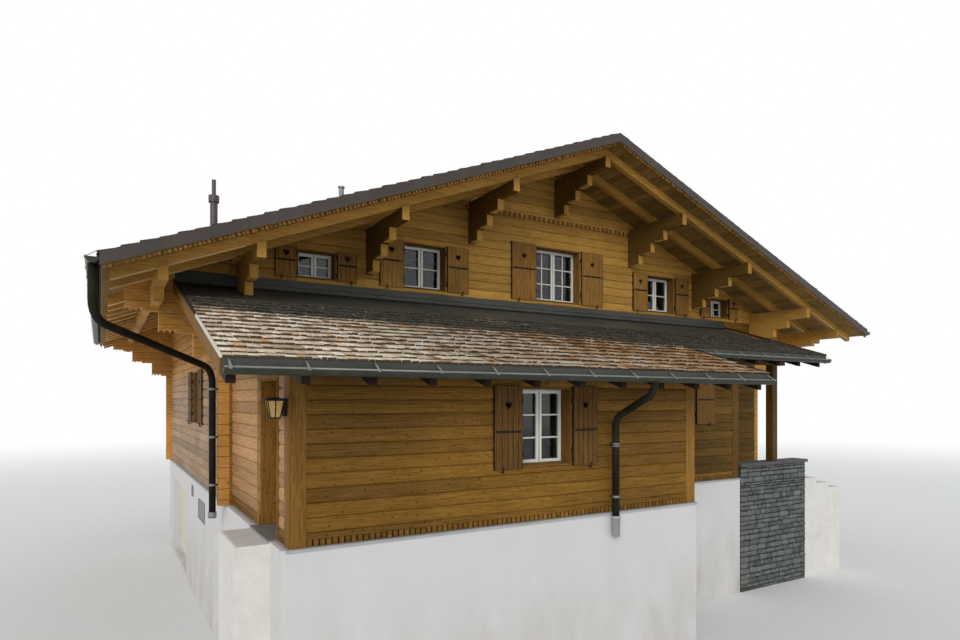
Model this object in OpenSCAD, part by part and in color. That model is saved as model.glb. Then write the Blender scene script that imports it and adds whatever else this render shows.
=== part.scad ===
/* [House] */
// Distance from the ridge line to the outer face of a side wall
half_width = 6870; // [6200:10:7600]
// Depth of the main house from the front gable to the rear gable
house_depth = 9900; // [8400:10:11000]
// Thickness of the outer walls
wall_t = 340; // [240:5:400]
// Height of the white plinth, from the level floor to the timber
plinth_h = 2600; // [2400:10:3000]
// How far the plinth stands out from the timber
plinth_out = 50; // [20:5:80]
// Thickness of the plinth walls
plinth_t = 390; // [360:5:420]
// Thickness of the slab on the floor of the cellar
cellar_slab_t = 150; // [100:5:250]
// Thickness of the ground floor
ground_floor_t = 220; // [160:5:280]
// Height of the rooms on the ground floor
storey_h = 2700; // [2500:10:2900]
// Thickness of the upper floor
upper_floor_t = 180; // [120:5:240]
// Height of the beam that carries the front gable wall
gable_beam_h = 260; // [200:5:400]

/* [Main roof] */
// Height of the ridge above the plinth
ridge_h = 6980; // [6600:10:7400]
// Rise of the main roof over each metre of its width
roof_rise = 383; // [340:1:420]
// Overhang of the roof past each side wall
eave_out = 1880; // [1700:10:2200]
// Overhang of the roof past each gable
verge_out = 2050; // [1950:10:2400]
// Upright thickness of the roof's boards, battens and shingles
roof_t = 150; // [100:5:220]
// Height of the metal sheet along the verge
verge_metal_h = 160; // [120:5:200]
// Thickness of the folded metal sheets
sheet_t = 8; // [4:1:12]
// Width of the sheet cap over the ridge, on each side
ridge_cap_w = 180; // [120:5:300]

/* [Timber of the main roof] */
// Upright height of a rafter
rafter_h = 170; // [120:5:200]
// Width of a rafter
rafter_w = 120; // [80:5:160]
// Distance from the gable to the front face of the verge rafter
verge_rafter_out = 1650; // [1400:10:1660]
// Spacing of the two rafters outside a gable
verge_rafter_gap = 830; // [700:10:900]
// Thickness of the boards that close the eaves between the rafters
eave_board_t = 30; // [20:2:50]
// Number of rafters between the gables on each slope
inner_rafters = 11; // [8:1:14]
// Width of a purlin
purlin_w = 130; // [100:10:180]
// Height of a purlin, and of each log of its bracket
log_h = 208; // [190:2:240]
// Height of the purlin under the eaves, and of the log below it
eave_log_h = 166; // [140:2:200]
// Distance from the ridge line to the inner purlins
inner_purlin_x = 2200; // [1900:10:2500]
// Distance from the ridge line to the outer purlins
outer_purlin_x = 4400; // [4000:10:4800]
// Distance from a side wall to the purlin out under the eaves
eave_purlin_out = 1130; // [1070:10:1200]
// Reach of a purlin's end past the gable
purlin_reach = 1700; // [1680:5:1900]
// Reach of the first log below a purlin
bracket_reach_1 = 1150; // [1000:10:1300]
// Reach of the second log below it
bracket_reach_2 = 760; // [600:10:900]
// Reach of the third and lowest log
bracket_reach_3 = 380; // [250:10:500]
// Reach of the log below the purlin under the eaves
eave_bracket_reach = 1020; // [800:10:1200]
// Radius of the scallops cut in the underside of a log
scallop_r = 42; // [25:1:50]

/* [Corbels and log ends] */
// Thickness of the logs in the corbels
corbel_t = 180; // [140:5:240]
// Reach of the log ends past the corner of the house
log_end_reach = 170; // [120:5:220]
// Reach of the corbel's lowest step past the side wall
corbel_reach_1 = 550; // [450:10:650]
// Reach of its middle step
corbel_reach_2 = 1060; // [900:10:1150]
// Reach of its highest step
corbel_reach_3 = 1540; // [1400:10:1600]
// Drop of the lowest step's underside below the roof's top face over the side wall
corbel_drop_1 = 1860; // [1750:10:2000]
// Drop of the middle step's underside
corbel_drop_2 = 1490; // [1400:10:1600]
// Drop of the highest step's underside
corbel_drop_3 = 1160; // [1100:10:1250]

/* [Lean-to in front of the gable] */
// Distance from the gable to the face of the annex
annex_depth = 3740; // [3400:10:4200]
// How far the annex's left face stands in from the side wall's face
annex_step = 70; // [20:10:200]
// Place of the right face of the annex, right of the ridge line
annex_right = 80; // [-300:10:400]
// Distance from the gable to the recessed wall
recess_depth = 1870; // [1500:10:2200]
// Distance from the recessed wall's right end to the right side wall's face
recess_in = 3170; // [2870:10:3470]
// Height above the plinth where the lean-to roof meets the gable
lean_top_h = 3650; // [3550:10:3700]
// Rise of the lean-to roof over each metre of its depth
lean_rise = 323; // [290:1:332]
// Upright thickness of the lean-to roof
lean_roof_t = 130; // [90:5:180]
// Distance from the gable to the lower eaves of the lean-to
annex_eave = 4620; // [4400:10:5000]
// Distance from the gable to the eaves over the porch
porch_eave = 2800; // [2500:10:3000]
// Overhang of the lean-to roof past the annex's left face
lean_side_out = 900; // [600:10:1000]
// Place where the roof steps back to the porch eaves
lean_step_x = 930; // [700:10:1200]
// Overhang of the lean-to roof past the porch post, to its right verge
lean_post_out = 400; // [300:10:600]
// Upright height of the lean-to's rafters
lean_rafter_h = 120; // [90:5:160]
// Width of the lean-to's rafters
lean_rafter_w = 100; // [70:5:130]
// Number of rafters over the annex
annex_rafters = 12; // [8:1:15]
// Number of rafters over the recess and the porch
porch_rafters = 7; // [4:1:9]
// Height of the metal upstand on the gable
upstand_h = 230; // [120:5:250]
// Width of the metal sheet below it on the slope
apron_w = 1400; // [300:10:1600]
// Width of the boards on the annex's corners
corner_board_w = 180; // [120:5:240]
// Thickness of the boards on the annex's corners
corner_board_t = 30; // [20:2:50]

/* [Windows] */
// Depth from the wall's face to a window frame
reveal = 200; // [120:5:240]
// Depth of a window frame
frame_t = 70; // [50:5:90]
// Width of a window frame's bars
frame_w = 62; // [45:1:80]
// Thickness of the glass
glass_t = 12; // [6:1:24]
// Height above the plinth of the sills in the gable
gable_sill = 3950; // [3900:10:4100]
// Place of the middle window in the gable
middle_window_x = 50; // [-200:10:200]
// Width of the middle window
middle_window_w = 1230; // [900:10:1400]
// Height of the middle window
middle_window_h = 1180; // [800:10:1300]
// Distance from the ridge line to the windows beside it
side_window_x = 3240; // [3100:10:3500]
// Width of the windows beside the middle one
side_window_w = 920; // [700:10:1000]
// Height of the windows beside the middle one
side_window_h = 880; // [600:10:950]
// Distance from the ridge line to the outermost windows
end_window_x = 5390; // [5300:10:5600]
// Width of the outermost windows
end_window_w = 700; // [500:10:720]
// Height of the outermost windows
end_window_h = 500; // [400:10:510]
// Place of the annex's window, from the ridge line
annex_window_x = -3050; // [-3600:10:-2500]
// Height of its sill above the plinth
annex_window_sill = 800; // [700:10:1000]
// Width of the annex's window
annex_window_w = 900; // [700:10:1100]
// Height of the annex's window
annex_window_h = 1150; // [900:10:1200]
// Place of the window in the recessed wall, from the ridge line
recess_window_x = 1750; // [1500:10:2000]
// Height above the plinth of the sills of the main rooms
room_window_sill = 1270; // [1100:10:1350]
// Width of the main rooms' windows
room_window_w = 1100; // [800:10:1300]
// Height of the main rooms' windows
room_window_h = 1130; // [900:10:1200]
// Distance from the gable to the window in a side wall
side_wall_window_y = 4150; // [3500:10:6000]
// Distance from the ridge line to the lower windows in the rear wall
rear_window_x = 3400; // [2800:10:4200]

/* [Shutters] */
// Thickness of a shutter
shutter_t = 36; // [24:1:50]
// Gap between an open shutter and the wall
shutter_off = 28; // [15:1:50]
// Gap between the window's edge and the shutter
shutter_gap = 30; // [20:1:40]
// How far a shutter reaches past the window, above and below
shutter_over = 20; // [10:1:30]
// Width of the heart cut in a shutter
heart_w = 95; // [60:1:120]
// Width of a hinge block
hinge_w = 36; // [24:1:50]
// Height of a hinge block
hinge_h = 70; // [40:1:100]

/* [Doors] */
// Distance from the annex's front face to the entrance's near jamb
entrance_in = 550; // [500:10:700]
// Width of the entrance
entrance_w = 1100; // [1000:10:1150]
// Height of the entrance
entrance_h = 2050; // [1950:10:2060]
// Depth of the entrance's outer recess
entrance_recess = 210; // [120:5:230]
// Width of the door frame's bars
door_frame_w = 60; // [45:1:80]
// Depth of the door frame
door_frame_t = 100; // [80:5:110]
// Thickness of the door
door_t = 60; // [45:1:70]
// Gap round the door
door_gap = 8; // [6:1:12]
// Thickness of the sill plate
sill_t = 24; // [10:1:30]
// Overhang of the sill plate past the plinth
sill_over = 25; // [10:1:50]
// Height of the door handle above the plinth
handle_h = 1050; // [950:10:1150]
// Distance from the rear gable to the garage opening's far edge
garage_in = 1150; // [900:10:1400]
// Width of the garage opening
garage_w = 3000; // [2400:10:3100]
// Height of the garage opening
garage_h = 2000; // [1900:10:2100]
// Depth from the plinth's face to the garage door
garage_recess = 170; // [80:5:250]
// Thickness of the garage door
garage_door_t = 60; // [40:1:80]

/* [Porch] */
// Length of the porch from the recessed wall's end to its steps
porch_l = 2500; // [2200:10:2700]
// Thickness of the stone parapet
parapet_t = 300; // [240:5:400]
// Height of the parapet's stones above the plinth
parapet_h = 250; // [150:10:400]
// Thickness of the parapet's cap
cap_t = 70; // [40:5:100]
// Overhang of the parapet's cap
cap_over = 50; // [20:5:80]
// Drop of the porch floor below the plinth's top
porch_drop = 20; // [10:5:60]
// Distance from the steps back to the porch post
post_in = 1000; // [700:10:1300]
// Width of the porch post
post_w = 180; // [140:5:220]
// Height of the beam on the post
porch_beam_h = 200; // [140:5:240]
// Number of steps beside the porch
porch_steps_n = 3; // [2:1:4]
// Tread of a step
tread = 500; // [300:10:550]
// Riser of a step
riser = 145; // [120:5:180]
// Width of the steps
steps_w = 1700; // [1200:10:1860]
// Length of the stone step at the entrance
door_step_l = 1160; // [900:10:1400]
// Width of the stone step at the entrance
door_step_w = 430; // [300:10:600]
// Drop of its top below the plinth's top
door_step_drop = 20; // [0:5:200]
// Radius of its outer edge
door_step_r = 50; // [20:5:100]

/* [Gutters and pipes] */
// Outer radius of a gutter
gutter_r = 75; // [60:1:100]
// Wall of a gutter
gutter_wall = 6; // [4:1:10]
// Drop of a gutter's lip below the roof's top edge
gutter_drop = 60; // [40:5:90]
// Outer radius of a downpipe
pipe_r = 55; // [40:1:65]
// Gap between a downpipe and the timber or plinth beside it
pipe_gap = 30; // [15:5:60]
// Distance from a gutter's end to its downpipe
pipe_inset = 150; // [100:10:300]
// Drop of the side pipes' lower turn below the first step of the corbels
side_neck_drop = 200; // [150:10:300]
// Height of the sloping length of the side pipes
side_neck_h = 510; // [400:10:700]
// Depth of the side pipes' feet below the plinth's top
side_pipe_foot = 200; // [100:10:400]
// Depth of the foot of the annex's pipe below the plinth's top
annex_pipe_foot = 360; // [250:10:500]
// Place of the annex's downpipe
annex_pipe_x = -1800; // [-1900:10:-1500]
// Drop from the annex's gutter to its pipe's upper turn
annex_neck_drop = 150; // [120:10:250]
// Height of the sloping length of the annex's pipe
annex_neck_h = 380; // [300:10:500]

/* [Small parts] */
// Radius of the flue
flue_r = 85; // [60:1:110]
// Height of the flue above the roof, up to its collar
flue_h = 1960; // [1400:10:2300]
// Radius of the collar
flue_collar_r = 120; // [110:5:160]
// Height of the collar
flue_collar_h = 160; // [80:5:220]
// Radius of the thin pipe above the collar
flue_top_r = 48; // [30:1:80]
// Height of the thin pipe
flue_top_h = 380; // [200:10:500]
// Place of the flue, from the ridge line
flue_x = -6400; // [-6500:10:-5500]
// Distance from the gable to the flue
flue_y = 5000; // [4000:10:6500]
// Radius of the roof vent
vent_r = 50; // [40:1:80]
// Height of the roof vent above the roof
vent_h = 760; // [500:10:900]
// Radius of the vent's cap
vent_cap_r = 66; // [60:1:100]
// Height of the vent's cap
vent_cap_h = 25; // [15:1:50]
// Place of the roof vent, from the ridge line
vent_x = -4630; // [-5000:10:-4000]
// Distance from the gable to the roof vent
vent_y = 900; // [500:10:2000]
// Width of the lantern at its top
lantern_w = 240; // [180:5:300]
// Height of the lantern's body
lantern_h = 250; // [180:5:320]
// Height of the lantern's roof plate above the plinth
lantern_z = 1800; // [1600:10:1900]

/* [Hidden] */

plinth_top = plinth_h;
eave_x = half_width + eave_out;
eave_purlin_x = half_width + eave_purlin_out;
annex_left = half_width - annex_step;
lean_left = annex_left + lean_side_out;
recess_right = half_width - recess_in;
porch_right = recess_right + porch_l;
post_x = porch_right - post_in - post_w;
lean_right = post_x + post_w + lean_post_out;
near_jamb = -annex_depth + entrance_in;
far_jamb = near_jamb + entrance_w;
garage_y = house_depth - garage_in - garage_w;
metre = 1000;
slope = roof_rise / metre;
lean_slope = lean_rise / metre;
outer = half_width + plinth_out;
inner_face = half_width - wall_t;
upper_floor_z = plinth_top + storey_h;
annex_plinth_y = -annex_depth - plinth_out;
recess_plinth_y = -recess_depth - plinth_out;
rear_plinth_y = house_depth + plinth_out;
annex_plinth_x = annex_right + plinth_out;
recess_plinth_x = recess_right + plinth_out;
far = 2 * eave_x;
eps = 1;
// Round shapes: pipes, gutters and scallops
round_fn = 48;
// Sleeves round the turns of the downpipes
sleeve_h = 200;
sleeve_t = 10;
// Places of a shutter's heart and hinges, as parts of its height
heart_place = 0.76;
hinge_places = [0.17, 0.83];
// Rings that hold the downpipes: height, thickness, and their heights above the plinth
clamp_h = 30;
clamp_t = 5;
pipe_clamps = [350, 1150, 1950];
annex_pipe_clamps = [350, 1150];

function roof_z(x) = plinth_top + ridge_h - slope * abs(x);
function lean_z(y) = plinth_top + lean_top_h + lean_slope * y;
function rafter_under_z(x) = roof_z(x) - roof_t - rafter_h;
function lean_under_z(y) = lean_z(y) - lean_roof_t - lean_rafter_h;
plate_z = rafter_under_z(half_width) - log_h;

// Purlins: the middle's distance from the ridge line, the height of a log, and the reaches of
// the logs below, from the highest down
bracket_reaches = [bracket_reach_1, bracket_reach_2, bracket_reach_3];
ridge_purlin = [0, log_h, bracket_reaches];
plate_purlin = [half_width - wall_t / 2, log_h, bracket_reaches];
eave_purlin = [eave_purlin_x, eave_log_h, [eave_bracket_reach]];
slope_purlins = [[inner_purlin_x, log_h, bracket_reaches],
    [outer_purlin_x, log_h, bracket_reaches], eave_purlin];
function purlin_low(p) = rafter_under_z(p[0] + purlin_w / 2) - p[1];

// A profile in x and z, drawn out along y
module along_y(y0, y1) {
    translate([0, y1, 0]) rotate([90, 0, 0]) linear_extrude(y1 - y0) children();
}

// A profile in y and z, drawn out along x
module along_x(x0, x1) {
    translate([x0, 0, 0]) rotate([90, 0, 90]) linear_extrude(x1 - x0) children();
}

module box(x0, x1, y0, y1, z0, z1) {
    translate([x0, y0, z0]) cube([x1 - x0, y1 - y0, z1 - z0]);
}

module both_sides() {
    children();
    mirror([1, 0, 0]) children();
}

module both_ends() {
    children();
    translate([0, house_depth, 0]) mirror([0, 1, 0]) children();
}

// Faces of the house: local x runs along the wall, local y into it from its outer face
module on_front(depth) { translate([0, -depth, 0]) children(); }
module on_rear() { translate([0, house_depth, 0]) rotate([0, 0, 180]) children(); }
module on_left() { translate([-half_width, 0, 0]) rotate([0, 0, -90]) children(); }
module on_right() { translate([half_width, 0, 0]) rotate([0, 0, 90]) children(); }

// Everything above the main roof's top face lowered by drop
module above_roof(drop) {
    along_y(-far, house_depth + far)
        polygon([[-far, roof_z(far) - drop], [0, roof_z(0) - drop], [far, roof_z(far) - drop],
            [far, roof_z(0) + far], [-far, roof_z(0) + far]]);
}

// Everything above the lean-to roof's top face lowered by drop
module above_lean(drop) {
    along_x(-far, far)
        polygon([[-far, lean_z(-far) - drop], [0, lean_z(0) - drop], [0, lean_z(0) + far],
            [-far, lean_z(0) + far]]);
}

// The room taken by the lean-to roof and its flashing, down to the floor
module below_flashing() {
    along_x(-lean_left, lean_right)
        polygon([[-annex_eave, 0], [0, 0], [0, lean_z(0) + upstand_h],
            [-sheet_t, lean_z(0) + upstand_h], [-sheet_t, lean_z(0) + sheet_t],
            [-apron_w, lean_z(-apron_w) + sheet_t], [-apron_w, lean_z(-apron_w)],
            [-annex_eave, lean_z(-annex_eave)]]);
}

// Windows: the middle along the wall, the sill above the plinth, the width and the height
gable_windows = [
    [middle_window_x, gable_sill, middle_window_w, middle_window_h],
    [-side_window_x, gable_sill, side_window_w, side_window_h],
    [side_window_x, gable_sill, side_window_w, side_window_h],
    [-end_window_x, gable_sill, end_window_w, end_window_h],
    [end_window_x, gable_sill, end_window_w, end_window_h]];
annex_windows = [[annex_window_x, annex_window_sill, annex_window_w, annex_window_h]];
recess_windows = [[recess_window_x, room_window_sill, room_window_w, room_window_h]];
left_windows = [[-side_wall_window_y, room_window_sill, room_window_w, room_window_h]];
right_windows = [[side_wall_window_y, room_window_sill, room_window_w, room_window_h]];
rear_windows = [
    [-rear_window_x, room_window_sill, room_window_w, room_window_h],
    [rear_window_x, room_window_sill, room_window_w, room_window_h]];

module window_holes(windows) {
    for (w = windows)
        box(w[0] - w[2] / 2, w[0] + w[2] / 2, -eps, wall_t + eps, plinth_top + w[1],
            plinth_top + w[1] + w[3]);
}

module pane_outline(w, side) {
    pane_w = (w[2] - 3 * frame_w) / 2;
    translate([w[0] + side * (pane_w + frame_w) / 2 - pane_w / 2, plinth_top + w[1] + frame_w])
        square([pane_w, w[3] - 2 * frame_w]);
}

module frames_of(windows) {
    for (w = windows) along_y(reveal, reveal + frame_t) difference() {
        translate([w[0] - w[2] / 2, plinth_top + w[1]]) square([w[2], w[3]]);
        for (side = [-1, 1]) pane_outline(w, side);
    }
}

module glass_of(windows) {
    glass_y = reveal + (frame_t - glass_t) / 2;
    for (w = windows, side = [-1, 1]) along_y(glass_y, glass_y + glass_t) pane_outline(w, side);
}

// A heart with its point down: a square on its corner, with a circle on each upper edge
module heart() {
    r = heart_w / (2 + sqrt(2));
    rotate(45) {
        translate([-r, -r]) square(2 * r);
        translate([r, 0]) circle(r, $fn = round_fn);
        translate([0, r]) circle(r, $fn = round_fn);
    }
}

// One shutter, folded back flat beside its window on two hinge blocks
module shutter(w, side) {
    leaf_w = w[2] / 2;
    leaf_h = w[3] + 2 * shutter_over;
    edge = w[0] + side * (w[2] / 2 + shutter_gap);
    low = plinth_top + w[1] - shutter_over;
    translate([edge, 0, low]) mirror([side < 0 ? 1 : 0, 0, 0]) {
        along_y(-shutter_off - shutter_t, -shutter_off) difference() {
            square([leaf_w, leaf_h]);
            translate([leaf_w / 2, leaf_h * heart_place]) heart();
        }
        for (part = hinge_places)
            box(0, hinge_w, -shutter_off, 0, part * leaf_h - hinge_h / 2,
                part * leaf_h + hinge_h / 2);
    }
}

module shutters_of(windows) {
    for (w = windows, side = [-1, 1]) shutter(w, side);
}

// The cellar's footprint, out to the plinth's faces
module footprint(grow) {
    polygon([[-outer + grow, rear_plinth_y - grow],
        [outer - grow, rear_plinth_y - grow], [outer - grow, -plinth_out + grow],
        [recess_plinth_x - grow, -plinth_out + grow],
        [recess_plinth_x - grow, recess_plinth_y + grow],
        [annex_plinth_x - grow, recess_plinth_y + grow],
        [annex_plinth_x - grow, annex_plinth_y + grow],
        [-outer + grow, annex_plinth_y + grow]]);
}

module cellar_floor() {
    color("lightgray") linear_extrude(cellar_slab_t) footprint(0);
}

// A straight length of plinth on the cellar's slab
module plinth_part(x0, x1, y0, y1) {
    box(x0, x1, y0, y1, cellar_slab_t, plinth_top);
}

module plinth_cross_walls() {
    color("whitesmoke") {
        plinth_part(-outer, annex_plinth_x, annex_plinth_y, annex_plinth_y + plinth_t);
        plinth_part(annex_plinth_x - plinth_t, recess_plinth_x, recess_plinth_y,
            recess_plinth_y + plinth_t);
        plinth_part(recess_plinth_x - plinth_t, outer, -plinth_out, -plinth_out + plinth_t);
        plinth_part(-outer, outer, rear_plinth_y - plinth_t, rear_plinth_y);
    }
}

module plinth_side_walls() {
    color("whitesmoke") {
        plinth_part(-outer, -outer + plinth_t, annex_plinth_y + plinth_t, garage_y);
        plinth_part(-outer, -outer + plinth_t, garage_y + garage_w, rear_plinth_y - plinth_t);
        plinth_part(outer - plinth_t, outer, -plinth_out + plinth_t, rear_plinth_y - plinth_t);
        plinth_part(annex_plinth_x - plinth_t, annex_plinth_x, annex_plinth_y + plinth_t,
            recess_plinth_y);
        plinth_part(recess_plinth_x - plinth_t, recess_plinth_x, recess_plinth_y + plinth_t,
            -plinth_out);
    }
}

module plinth_lintel() {
    color("whitesmoke")
        box(-outer, -outer + plinth_t, garage_y, garage_y + garage_w,
            cellar_slab_t + garage_h, plinth_top);
}

module porch_base() {
    color("silver")
        box(recess_plinth_x, porch_right, recess_plinth_y + parapet_t,
            -plinth_out, 0, plinth_top - porch_drop);
}

module parapet() {
    color("darkgray")
        box(recess_plinth_x, porch_right, recess_plinth_y,
            recess_plinth_y + parapet_t, 0, plinth_top + parapet_h);
}

module parapet_cap() {
    color("dimgray")
        box(recess_plinth_x, porch_right + cap_over,
            recess_plinth_y - cap_over,
            recess_plinth_y + parapet_t + cap_over,
            plinth_top + parapet_h, plinth_top + parapet_h + cap_t);
}

module porch_steps() {
    color("slategray") along_y(recess_plinth_y, recess_plinth_y + steps_w)
        union() for (i = [0:porch_steps_n - 1])
            translate([porch_right, 0])
                square([(i + 1) * tread, plinth_top - porch_drop - (i + 1) * riser]);
}

module door_step() {
    middle = (near_jamb + far_jamb) / 2;
    top = plinth_top - door_step_drop;
    r = door_step_r;
    color("gainsboro") along_y(middle - door_step_l / 2, middle + door_step_l / 2)
        translate([-outer - door_step_w, 0]) {
            translate([r, 0]) square([door_step_w - r, top]);
            square([r, top - r]);
            translate([r, top - r]) circle(r, $fn = round_fn);
        }
}

module ground_floor() {
    color("burlywood") translate([0, 0, plinth_top - ground_floor_t])
        linear_extrude(ground_floor_t) footprint(plinth_t);
}

module upper_floor() {
    color("burlywood")
        box(-inner_face, inner_face, wall_t, house_depth - wall_t, upper_floor_z,
            upper_floor_z + upper_floor_t);
}

module left_wall() {
    color("peru") difference() {
        along_x(-half_width, -inner_face)
            polygon([[0, plinth_top], [house_depth - wall_t, plinth_top],
                [house_depth - wall_t, plate_z], [wall_t, plate_z], [wall_t, upper_floor_z],
                [0, upper_floor_z]]);
        on_left() window_holes(left_windows);
    }
}

module right_wall() {
    color("peru") difference() {
        box(inner_face, half_width, wall_t, house_depth - wall_t, plinth_top, plate_z);
        on_right() window_holes(right_windows);
    }
}

// The outline of a gable wall from height z0 up to the roof
module gable_outline(z0) {
    top = roof_z(half_width) - roof_t;
    polygon([[-half_width, z0], [half_width, z0], [half_width, top], [0, roof_z(0) - roof_t],
        [-half_width, top]]);
}

module rear_wall() {
    color("peru") difference() {
        along_y(house_depth - wall_t, house_depth) gable_outline(plinth_top);
        on_rear() {
            window_holes(gable_windows);
            window_holes(rear_windows);
        }
        all_purlin_bars();
    }
}

module gable_wall() {
    color("peru") difference() {
        along_y(0, wall_t) gable_outline(upper_floor_z);
        window_holes(gable_windows);
        all_purlin_bars();
    }
}

module gable_beam() {
    color("sienna")
        box(-inner_face, recess_right - wall_t, 0, wall_t, upper_floor_z - gable_beam_h,
            upper_floor_z);
}

module porch_wall() {
    color("peru") box(recess_right - wall_t, half_width, 0, wall_t, plinth_top, upper_floor_z);
}

// A wall under the lean-to, cut to its roof and notched for the rafters
module lean_wall(x0, x1, y0, y1) {
    color("peru") difference() {
        box(x0, x1, y0, y1, plinth_top, lean_z(0));
        above_lean(lean_roof_t);
        lean_rafter_bars(eps);
        children();
    }
}

module annex_front_wall() {
    lean_wall(-annex_left, annex_right, -annex_depth, -annex_depth + wall_t)
        on_front(annex_depth) window_holes(annex_windows);
}

module annex_corner_wall() {
    lean_wall(-annex_left, -annex_left + wall_t, -annex_depth + wall_t, near_jamb);
}

module annex_left_wall() {
    lean_wall(-annex_left, -annex_left + wall_t, far_jamb, 0);
}

module door_header() {
    lean_wall(-annex_left, -annex_left + wall_t, near_jamb, far_jamb)
        box(-annex_left - eps, -annex_left + wall_t + eps, near_jamb - eps, far_jamb + eps, 0,
            plinth_top + entrance_h);
}

module annex_right_wall() {
    lean_wall(annex_right - wall_t, annex_right, -annex_depth + wall_t, -recess_depth);
}

module recess_wall() {
    lean_wall(annex_right - wall_t, recess_right, -recess_depth, -recess_depth + wall_t)
        on_front(recess_depth) window_holes(recess_windows);
}

module recess_side_wall() {
    lean_wall(recess_right - wall_t, recess_right, -recess_depth + wall_t, 0);
}

// Boards that wrap an outer corner of the annex
module corner_board(x, y, side) {
    translate([x, y, 0]) mirror([side > 0 ? 1 : 0, 0, 0])
        linear_extrude(lean_under_z(y - corner_board_t)) polygon([
            [-corner_board_t, -corner_board_t], [corner_board_w, -corner_board_t],
            [corner_board_w, 0], [0, 0], [0, corner_board_w],
            [-corner_board_t, corner_board_w]]);
}

module corner_boards() {
    color("tan") difference() {
        union() {
            corner_board(-annex_left, -annex_depth, -1);
            corner_board(annex_right, -annex_depth, 1);
            corner_board(recess_right, -recess_depth, 1);
        }
        box(-far, far, -far, far, 0, plinth_top);
    }
}

// Three scallops side by side, cut up into the underside that ends at reach
module scallops(reach, z) {
    for (i = [0:2])
        translate([reach - (2 * i + 1) * scallop_r, z]) circle(scallop_r, $fn = round_fn);
}

// The stepped logs that carry a purlin's end: y runs out from the gable
module bracket_outline(p) {
    difference() {
        for (i = [0:len(p[2]) - 1])
            translate([0, purlin_low(p) - (i + 1) * p[1]]) square([p[2][i], p[1]]);
        for (i = [0:len(p[2]) - 1]) scallops(p[2][i], purlin_low(p) - (i + 1) * p[1]);
    }
}

// A purlin's straight bar, up past the rafters
module purlin_bar(p) {
    box(p[0] - purlin_w / 2, p[0] + purlin_w / 2, -purlin_reach, house_depth + purlin_reach,
        purlin_low(p), roof_z(0));
}

// The same bar with a bracket outside each gable
module purlin(p) {
    purlin_bar(p);
    along_x(p[0] - purlin_w / 2, p[0] + purlin_w / 2) {
        mirror([1, 0]) bracket_outline(p);
        translate([house_depth, 0]) bracket_outline(p);
    }
}

// What the purlins take out of the gable walls
module all_purlin_bars() {
    difference() {
        union() {
            purlin_bar(ridge_purlin);
            both_sides() for (p = concat(slope_purlins, [plate_purlin])) purlin_bar(p);
        }
        above_roof(roof_t + rafter_h);
    }
}

module purlins() {
    color("goldenrod") difference() {
        union() {
            purlin(ridge_purlin);
            both_sides() for (p = slope_purlins) purlin(p);
        }
        above_roof(roof_t + rafter_h);
    }
}

module wall_plates() {
    color("goldenrod") difference() {
        both_sides() {
            purlin(plate_purlin);
            box(inner_face, half_width, wall_t, house_depth - wall_t, plate_z, roof_z(0));
        }
        above_roof(roof_t + rafter_h);
        below_flashing();
    }
}

// The log ends at a corner and the stepped corbel over them, out from the side wall
module corbel_outline() {
    reaches = [log_end_reach, corbel_reach_1, corbel_reach_2, corbel_reach_3];
    top = roof_z(half_width);
    lows = [plinth_top, top - corbel_drop_1, top - corbel_drop_2, top - corbel_drop_3];
    difference() {
        for (i = [0:3])
            translate([half_width, lows[i]]) square([reaches[i], top - lows[i]]);
        for (i = [1:3]) scallops(half_width + reaches[i], lows[i]);
    }
}

module corbels() {
    color("goldenrod") both_ends() both_sides() difference() {
        along_y(0, corbel_t) corbel_outline();
        above_roof(roof_t);
        difference() {
            purlin_bar(eave_purlin);
            above_roof(roof_t + rafter_h);
        }
    }
}

// Places of the front faces of the rafters, from the front verge to the rear one
inner_step = (house_depth - 2 * wall_t - rafter_w) / (inner_rafters + 1);
rafter_ys = concat(
    [-verge_rafter_out, -verge_rafter_out + verge_rafter_gap],
    [for (i = [1:inner_rafters]) wall_t + i * inner_step],
    [house_depth + verge_rafter_out - verge_rafter_gap - rafter_w,
        house_depth + verge_rafter_out - rafter_w]);

// The rafters of the right slope, their tops raised by over where they cut another piece
module rafter_bars(over = 0) {
    end = eave_x - rafter_w;
    for (y = rafter_ys) along_y(y, y + rafter_w)
        polygon([[0, rafter_under_z(0)], [end, rafter_under_z(end)],
            [end, roof_z(end) - roof_t + over], [0, roof_z(0) - roof_t + over]]);
}

module rafters_right() {
    color("goldenrod") rafter_bars();
}

module rafters_left() {
    color("goldenrod") mirror([1, 0, 0]) rafter_bars();
}

// Boards on the wall plates that close the gaps between the rafters
module eave_boards() {
    color("peru") difference() {
        both_sides()
            box(half_width - eave_board_t, half_width, wall_t, house_depth - wall_t, plate_z,
                roof_z(0));
        above_roof(roof_t);
        along_y(0, house_depth)
            polygon([[-far, rafter_under_z(far)], [0, rafter_under_z(0)],
                [far, rafter_under_z(far)], [far, -far], [-far, -far]]);
        rafter_bars(eps);
        mirror([1, 0, 0]) rafter_bars(eps);
    }
}

module roof_right() {
    color("rosybrown") along_y(-verge_out, house_depth + verge_out)
        polygon([[0, roof_z(0) - roof_t], [eave_x, roof_z(eave_x) - roof_t],
            [eave_x, roof_z(eave_x)], [0, roof_z(0)]]);
}

module roof_left() {
    mirror([1, 0, 0]) roof_right();
}

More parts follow.
